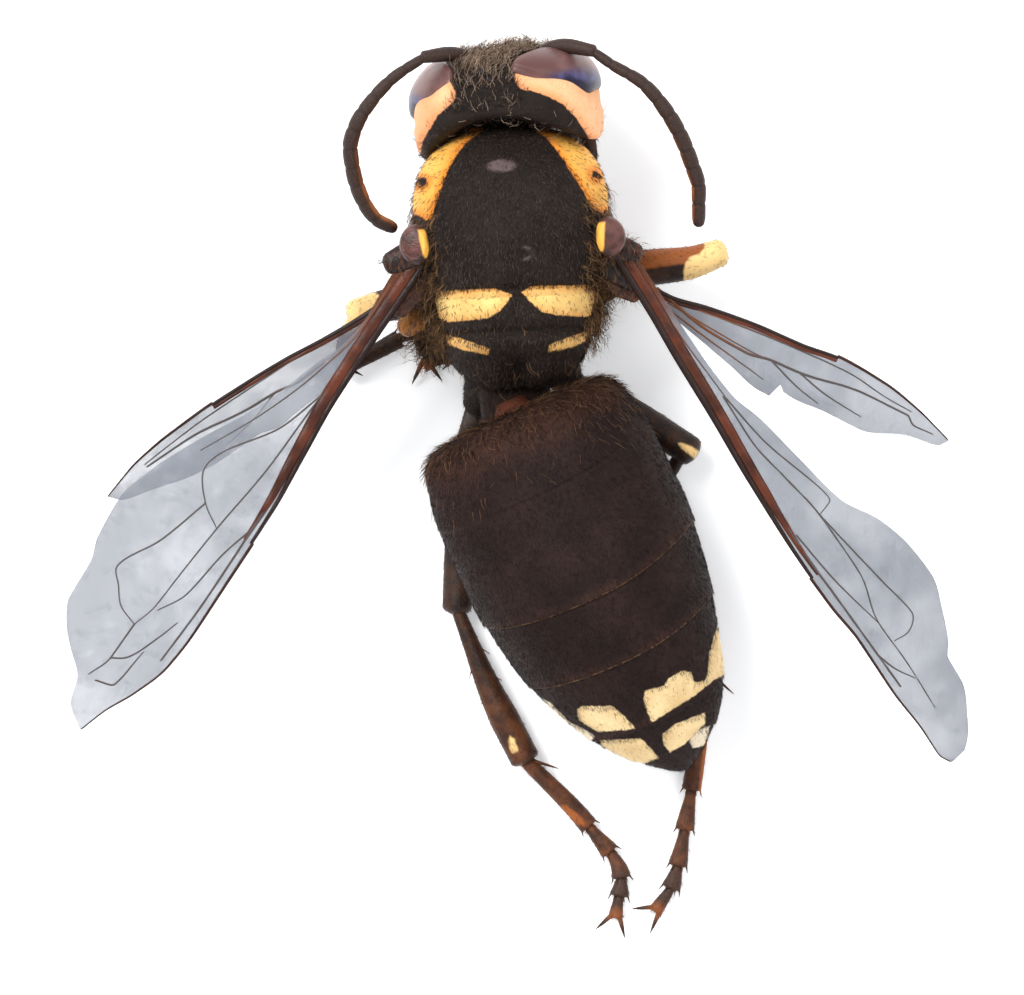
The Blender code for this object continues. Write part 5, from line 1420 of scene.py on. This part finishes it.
# %% [markdown]
# ## The coat
# Short dark hair covers the body, longer golden hair grows on the flanks, the wing bases and the front of
# the hind body, and the brow has a pale fringe. A hair here is a slim three-sided blade that bends over
# along the coat's lie.
# All hairs of one kind are one mesh, made from arrays, because tens of thousands of operators would
# take too long.

# %% Growing hair
MATCH = {"head": (0.02, 0.52), "trunk": (0.02, 0.02), "gaster": (0.52, 0.02), "leg": (0.52, 0.52)}
PATCH = 0.003
HAIR_SINK = 0.02
LIE_SPREAD = 0.35
RISE_SPREAD = 0.16
UNBEND = 0.62
TAPER = 0.72


def roots_on(obj, weight, count, rng):
    """Random places on a piece, denser where the weight is higher."""
    mesh = obj.data
    mesh.calc_loop_triangles()
    tri = np.empty(len(mesh.loop_triangles) * 3, int)
    mesh.loop_triangles.foreach_get("vertices", tri)
    tri = tri.reshape(-1, 3)
    co, out = positions(obj), normals(obj)
    # The union can list its faces in another order on another run, so they are sorted by their place
    tri = tri[np.lexsort(np.round(co[tri].mean(1), 3).T)]
    first = co[tri][:, :, 0].argmin(1)
    tri = tri[np.arange(len(tri))[:, None], (first[:, None] + np.arange(3)) % 3]
    a, b, c = co[tri[:, 0]], co[tri[:, 1]], co[tri[:, 2]]
    area = np.linalg.norm(np.cross(b - a, c - a), axis=1)
    share = area * weight[tri].mean(1)
    pick = rng.choice(len(tri), count, p=share / share.sum())
    u, v = rng.random(count), rng.random(count)
    over = u + v > 1
    u[over], v[over] = 1 - u[over], 1 - v[over]
    w = 1 - u - v
    t = tri[pick]
    shares = np.stack([w, u, v], 1)[:, :, None]
    normal = (out[t] * shares).sum(1)
    normal /= np.linalg.norm(normal, axis=1)[:, None] + 1e-9
    return (co[t] * shares).sum(1), normal, t[:, 0]


def unwrap(points, kinds):
    """Each root's place on a flat map of the skin: round the body across, along it upwards."""
    found = np.zeros((len(points), 2))
    grown = points + [*SHIFT, 0]
    for kind, base in MATCH.items():
        here = kinds == kind
        if not here.any():
            continue
        if kind == "head":
            p = moved(grown[here], np.linalg.inv(HEAD))
            turn, run = np.arctan2(p[:, 2], p[:, 0]), (p[:, 1] + 1.6) / 3.2
        elif kind == "trunk":
            p = moved(grown[here], np.linalg.inv(TRUNK))
            turn, run = np.arctan2(p[:, 2] - 4.0, p[:, 0]), -p[:, 1] / TRUNK_AT[-1]
        elif kind == "gaster":
            p = moved(grown[here], np.linalg.inv(GASTER))
            turn, run = np.arctan2(p[:, 2] - 2.4, p[:, 0]), (-p[:, 1] + 0.7) / 10.3
        else:
            p = grown[here]
            turn, run = (p[:, 0] / 12.0) * np.pi, (p[:, 1] + 11.3) / 22.6
        found[here, 0] = base[0] + 0.46 * (turn / (2 * np.pi) + 0.5)
        found[here, 1] = base[1] + 0.46 * np.clip(run, 0, 1)
    return found


def hair_mesh(name, roots, out, lie, length, radius, rise, kinds, tone, rng, bends=2, curl=0.05):
    """Many hairs as one mesh. Rise is the angle at which a hair leaves the skin, in radians."""
    count = len(roots)
    lie = lie - (lie * out).sum(1)[:, None] * out
    lie /= np.linalg.norm(lie, axis=1)[:, None] + 1e-9
    side = np.cross(out, lie)
    swing = rng.normal(0, LIE_SPREAD, count)
    ahead = lie * np.cos(swing)[:, None] + side * np.sin(swing)[:, None]
    side = np.cross(out, ahead)
    rings = bends + 1
    line = [roots - out * HAIR_SINK]
    angle = rise.copy()
    aside = np.zeros(count)
    for _ in range(rings):
        flat_way = ahead * np.cos(aside)[:, None] + side * np.sin(aside)[:, None]
        step = out * np.sin(angle)[:, None] + flat_way * np.cos(angle)[:, None]
        line.append(line[-1] + step * (length / rings)[:, None])
        angle = angle * UNBEND + rng.normal(0, curl, count)
        aside = aside + rng.normal(0, curl * 2.5, count)
    corners = np.array([0, 2 * np.pi / 3, 4 * np.pi / 3])
    points = np.empty((count, rings * 3 + 1, 3))
    for k in range(rings):
        thick = radius * (1 - TAPER * k / rings)
        for c, turn in enumerate(corners):
            offset = side * math.cos(turn) + out * math.sin(turn)
            points[:, k * 3 + c] = line[k] + offset * thick[:, None]
    points[:, -1] = line[-1]
    size = rings * 3 + 1
    faces, patch = [], []
    for k in range(rings - 1):
        for c in range(3):
            d = (c + 1) % 3
            a, b = k * 3 + c, k * 3 + d
            up_a, up_b = a + 3, b + 3
            left, right, near, beyond = c / 3, (c + 1) / 3, k / rings, (k + 1) / rings
            here = [(left, near), (right, near), (right, beyond), (left, beyond)]
            faces += [(a, b, up_b), (a, up_b, up_a)]
            patch += [(here[0], here[1], here[2]), (here[0], here[2], here[3])]
    k = rings - 1
    for c in range(3):
        d = (c + 1) % 3
        faces.append((k * 3 + c, k * 3 + d, size - 1))
        patch.append(((c / 3, k / rings), ((c + 1) / 3, k / rings), ((c + 0.5) / 3, 1.0)))
    faces.append((2, 1, 0))
    patch.append(((0.9, 0.0), (0.5, 0.05), (0.1, 0.0)))
    faces, patch = np.array(faces), np.array(patch)
    loops = (faces[None] + (np.arange(count) * size)[:, None, None]).reshape(-1)
    mesh = bpy.data.meshes.new(name)
    mesh.vertices.add(count * size)
    mesh.vertices.foreach_set("co", ((points.reshape(-1, 3)) * MM).ravel())
    mesh.loops.add(len(loops))
    mesh.loops.foreach_set("vertex_index", loops.astype(np.int32))
    total = count * len(faces)
    mesh.polygons.add(total)
    mesh.polygons.foreach_set("loop_start", np.arange(total, dtype=np.int32) * 3)
    mesh.update(calc_edges=True)
    layer = mesh.uv_layers.new(name="OFBake")
    spot = unwrap(roots, kinds)
    uv = spot[:, None, None] + (patch[None] - 0.5) * PATCH
    layer.data.foreach_set("uv", uv.reshape(-1).astype(np.float32))
    piece = bpy.data.objects.new(name, mesh)
    bpy.context.scene.collection.objects.link(piece)
    mesh.shade_smooth()
    level = np.repeat(np.linspace(0, 1, rings + 1)[:-1], 3)
    level = np.append(level, 1.0)
    store(piece, "tone", (tone[:, None] + 0.25 * (level[None] - 0.5)).ravel())
    print(name, "hairs", count, "triangles", total)
    return piece


# %% Where each kind of hair grows
rng = np.random.default_rng(7)
points, out = positions(skin), normals(skin)
grown = points + [*SHIFT, 0]
middle = moved(grown, np.linalg.inv(TRUNK)) * (1, -1, 1)
hind = on_gaster(points)
on_head = shell == "head"
on_trunk = shell == "trunk"
on_hind = shell == "gaster"
tail, rear = (
    np.array([math.sin(yaw), -math.cos(yaw), 0.0]) for yaw in np.radians([GASTER_YAW, TRUNK_YAW]))
flank = np.clip(np.abs(out[:, 0]) * 1.5 - 0.5, 0, 1)
skin_depth = np.empty(len(points), np.float32)
skin.data.attributes["depth"].data.foreach_get("value", skin_depth)
bare = np.where(skin_depth > 0.04, np.where(on_hind, 0.04, 0.12), 1.0)
head_local = moved(grown, np.linalg.inv(HEAD))
under_eye = (against_eye(head_local)[1] > -0.05) & (head_local[:, 1] > -0.45)
haired = on_head * bare * ~under_eye * np.where(head_local[:, 1] < -0.35, 0.2, 1.0)


def coat(name, weight, count, length, radius, rise, lie, tones, bends, curl=0.05, source=skin,
         kinds=None):
    """One kind of hair, grown where its weight is above zero. Sizes are in millimetres, angles in radians."""
    roots, normal, near = roots_on(source, weight, count, rng)
    kinds = shell[near] if kinds is None else kinds[near]
    low, high = length
    sizes = rng.uniform(low, high, count)
    lies = lie[near] if getattr(lie, "ndim", 1) == 2 else np.tile(lie, (count, 1))
    rises = np.clip(rng.normal(rise, RISE_SPREAD, count), 0.08, 1.5)
    tone = rng.uniform(*tones, count)
    thick = np.full(count, radius)
    piece = hair_mesh(name, roots, normal, lies, sizes, thick, rises, kinds, tone, rng, bends, curl)
    return piece


coats = {}
top = np.clip(out[:, 2] + 0.5, 0, 1)
plain = np.where(on_trunk & (middle[:, 2] < 3.0), 0.5, 1.0)
for layer, tones in (("under", (0.0, 0.45)), ("over", (0.1, 0.7))):
    name = "coat_trunk_" + layer
    coats[name] = coat(
        name, on_trunk * bare * plain * (1 - 0.8 * scar), count=16000, length=(0.1, 0.2), radius=0.009,
        rise=0.55, lie=rear, tones=tones, bends=1)
wide = np.clip((np.abs(middle[:, 0]) - 1.6) / 0.3, 0, 1) * (middle[:, 1] > 1.5) * (middle[:, 2] > 2.2)
long_side = on_trunk * (wide + 0.05 * (middle[:, 1] > 5.72) + 0.2 * bump(middle[:, 1] - 5.05, 0.1))
outward = np.stack([out[:, 0], out[:, 1] - 0.6, np.zeros(len(out))], 1)
coats["coat_trunk_long"] = coat(
    "coat_trunk_long", long_side * bare, count=2200, length=(0.3, 0.6), radius=0.009,
    rise=0.9, lie=outward, tones=(0.1, 1.0), bends=4, curl=0.2)
beside = on_trunk * wide * bump(middle[:, 1] - 4.5, 0.85)
coats["coat_trunk_side"] = coat(
    "coat_trunk_side", beside * bare, count=2300, length=(0.45, 1.05), radius=0.009,
    rise=1.2, lie=outward, tones=(-0.5, 0.9), bends=4, curl=0.35)
for name, base in zip(WING_BASES, wing_bases):
    away = normals(base) * (1, 1, 0) + (0, -0.5, 0)
    coats["coat_base_" + name] = coat(
        "coat_base_" + name, np.ones(len(away)), count=420, length=(0.2, 0.5), radius=0.008,
        rise=0.9, lie=away, tones=(-0.3, 1.0), bends=3, curl=0.3,
        source=base, kinds=np.full(len(away), "leg"))
sides = on_hind * (0.25 + top) * bare * (hind[:, 1] > -1.3)
for layer, tones in (("under", (0.1, 0.4)), ("middle", (0.1, 0.45)), ("over", (0.15, 0.5))):
    name = "coat_hind_" + layer
    coats[name] = coat(
        name, sides, count=15000, length=(0.1, 0.17), radius=0.006,
        rise=0.42, lie=tail, tones=tones, bends=1)
brim = on_hind * bump(hind[:, 1] + 0.15, 0.3) * (out[:, 2] > -0.6) * (hind[:, 1] > -1.2)
shoulder = bump(hind[:, 0] - 2.2, 0.8) * bump(hind[:, 1] - 0.6, 0.6) * (out[:, 2] > 0)
brim = brim + on_hind * (0.35 * shoulder + 0.04 * (hind[:, 1] < 1.5) * (hind[:, 1] > 0))
coats["coat_hind_front"] = coat(
    "coat_hind_front", brim, count=2600, length=(0.25, 0.5), radius=0.008,
    rise=0.5, lie=tail, tones=(-0.3, 0.95), bends=3, curl=0.15)
crown = haired * (out[:, 2] > -0.2) * (0.14 + bump(head_local[:, 1] - 0.8, 0.42))
forward = np.tile([0.05, 1.0, 0.3], (len(out), 1))
coats["coat_head_short"] = coat(
    "coat_head_short", haired, count=6500, length=(0.1, 0.22), radius=0.0075,
    rise=0.8, lie=forward, tones=(-0.2, 0.5), bends=1)
coats["coat_head_long"] = coat(
    "coat_head_long", crown, count=1700, length=(0.25, 0.58), radius=0.008,
    rise=1.1, lie=forward, tones=(-0.2, 1.0), bends=4, curl=0.2)

# %% Hair and spines of the legs
for name, leg in legs.items():
    where = measured(leg)
    end = np.array(LEGS[name]["tarsus"][-1])
    knee = np.array(LEGS[name]["tibia"][0])
    way = np.tile(end - knee, (len(where), 1)) / np.linalg.norm(end - knee)
    count = 1500 if name.startswith("fore") else 2600
    clear = ((normals(leg)[:, 2] > -0.3) | (where[:, 2] > 0.45)) * 1.0
    piece = coat(
        "coat_leg_" + name, clear, count=count, length=(0.08, 0.16), radius=0.0065,
        rise=0.5, lie=way, tones=(0.0, 0.8), bends=1,
        source=leg, kinds=np.full(len(where), "leg"))
    coats[piece.name] = piece

# %% Hair finishes
hair_finishes = {}
for name, root_colour, tip_colour in (
    ("hair_dark", (0.014, 0.01, 0.009), (0.15, 0.11, 0.095)),
    ("hair_gold", (0.014, 0.008, 0.005), (0.32, 0.18, 0.085)),
    ("hair_pale", (0.02, 0.012, 0.009), (0.5, 0.36, 0.26)),
    ("hair_rust", (0.014, 0.008, 0.006), (0.2, 0.105, 0.055)),
    ("hair_brown", (0.014, 0.009, 0.0085), (0.042, 0.027, 0.025)),
):
    finish, tree, shader = new_material(name, 0.65, Specular_IOR_Level=0.08)
    clouds = placed(tree, mottle, Scale=2500.0, Fine_Scale=30000.0)
    share = maths(tree, "ADD", attribute(tree, "tone"), maths(tree, "MULTIPLY", clouds["Fine"], 0.3))
    colour = mixed(tree, spread(tree, share, 0.1, 1.15), root_colour, tip_colour)
    tree.links.new(colour, shader.inputs["Base Color"])
    hair_finishes[name] = finish
HAIR_OF = {
    "coat_trunk_under": "hair_dark", "coat_trunk_over": "hair_dark", "coat_trunk_long": "hair_gold",
    "coat_trunk_side": "hair_gold", "coat_base_left": "hair_gold", "coat_base_right": "hair_gold",
    "coat_hind_under": "hair_brown", "coat_hind_middle": "hair_brown", "coat_hind_over": "hair_brown",
    "coat_hind_front": "hair_rust", "coat_head_short": "hair_dark", "coat_head_long": "hair_pale",
}
for name, piece in coats.items():
    painted([piece], hair_finishes[HAIR_OF.get(name, "hair_rust")])

# %% [markdown]
# ## Floor, light and camera
# The insect lies on a plain pale floor in soft light, and the camera looks straight down on it.

# %% Floor
deselect()
bpy.ops.mesh.primitive_plane_add(size=0.8, location=(0, 0, -0.00002))
floor = bpy.context.object
floor.name = "floor"
floor_finish, tree, shader = new_material("floor_white", 0.7)
clouds = placed(tree, mottle, Scale=60.0, Fine_Scale=2500.0)
white = mixed(tree, clouds["Broad"], (0.88, 0.885, 0.89), (0.91, 0.91, 0.912))
tree.links.new(white, shader.inputs["Base Color"])
shader.inputs["Emission Color"].default_value = (0.96, 0.98, 1.0, 1.0)
shader.inputs["Emission Strength"].default_value = 0.36
floor.data.materials.append(floor_finish)
floor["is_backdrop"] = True

# %% Light
world = bpy.data.worlds.new("studio")
world.use_nodes = True
tree = world.node_tree
around = node(tree, "ShaderNodeTexCoord").outputs["Generated"]
height = node(tree, "ShaderNodeSeparateXYZ", inputs={0: around}).outputs["Z"]
tent = mixed(tree, spread(tree, height, 0.25, 0.95), (0.72, 0.72, 0.74), (0.42, 0.42, 0.43))
tree.links.new(tent, tree.nodes["Background"].inputs["Color"])
tree.nodes["Background"].inputs["Strength"].default_value = 0.85
bpy.context.scene.world = world
bpy.context.scene.view_settings.view_transform = "Standard"
LAMPS = (
    ("key", (-0.14, 0.12, 0.26), 0.14, 1.1),
    ("fill", (0.2, 0.1, 0.25), 0.2, 0.45),
    ("rear", (0.02, -0.25, 0.2), 0.2, 0.3),
)
for name, place, size, power in LAMPS:
    lamp = bpy.data.lights.new(name, "AREA")
    lamp.size = size
    lamp.energy = power
    holder = bpy.data.objects.new(name, lamp)
    holder.location = place
    holder.rotation_euler = (-Vector(place)).to_track_quat("-Z", "Y").to_euler()
    bpy.context.scene.collection.objects.link(holder)

# %% Camera
LENS = 500.0
SENSOR = 36.0
VIEW_WIDTH = 0.0256
MIDDLE_HEIGHT = 0.0035
camera = bpy.data.cameras.new("camera")
camera.lens = LENS
camera.sensor_width = SENSOR
camera.clip_start = 0.001
camera.clip_end = 10.0
eye_point = bpy.data.objects.new("camera", camera)
eye_point.location = (-0.0001235, -0.0002485, MIDDLE_HEIGHT + VIEW_WIDTH * LENS / SENSOR)
bpy.context.scene.collection.objects.link(eye_point)
bpy.context.scene.camera = eye_point

# %% Every piece rides with the body
for obj in list(bpy.context.scene.objects):
    if obj.type == "MESH" and obj.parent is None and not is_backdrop(obj):
        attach(obj, "root")
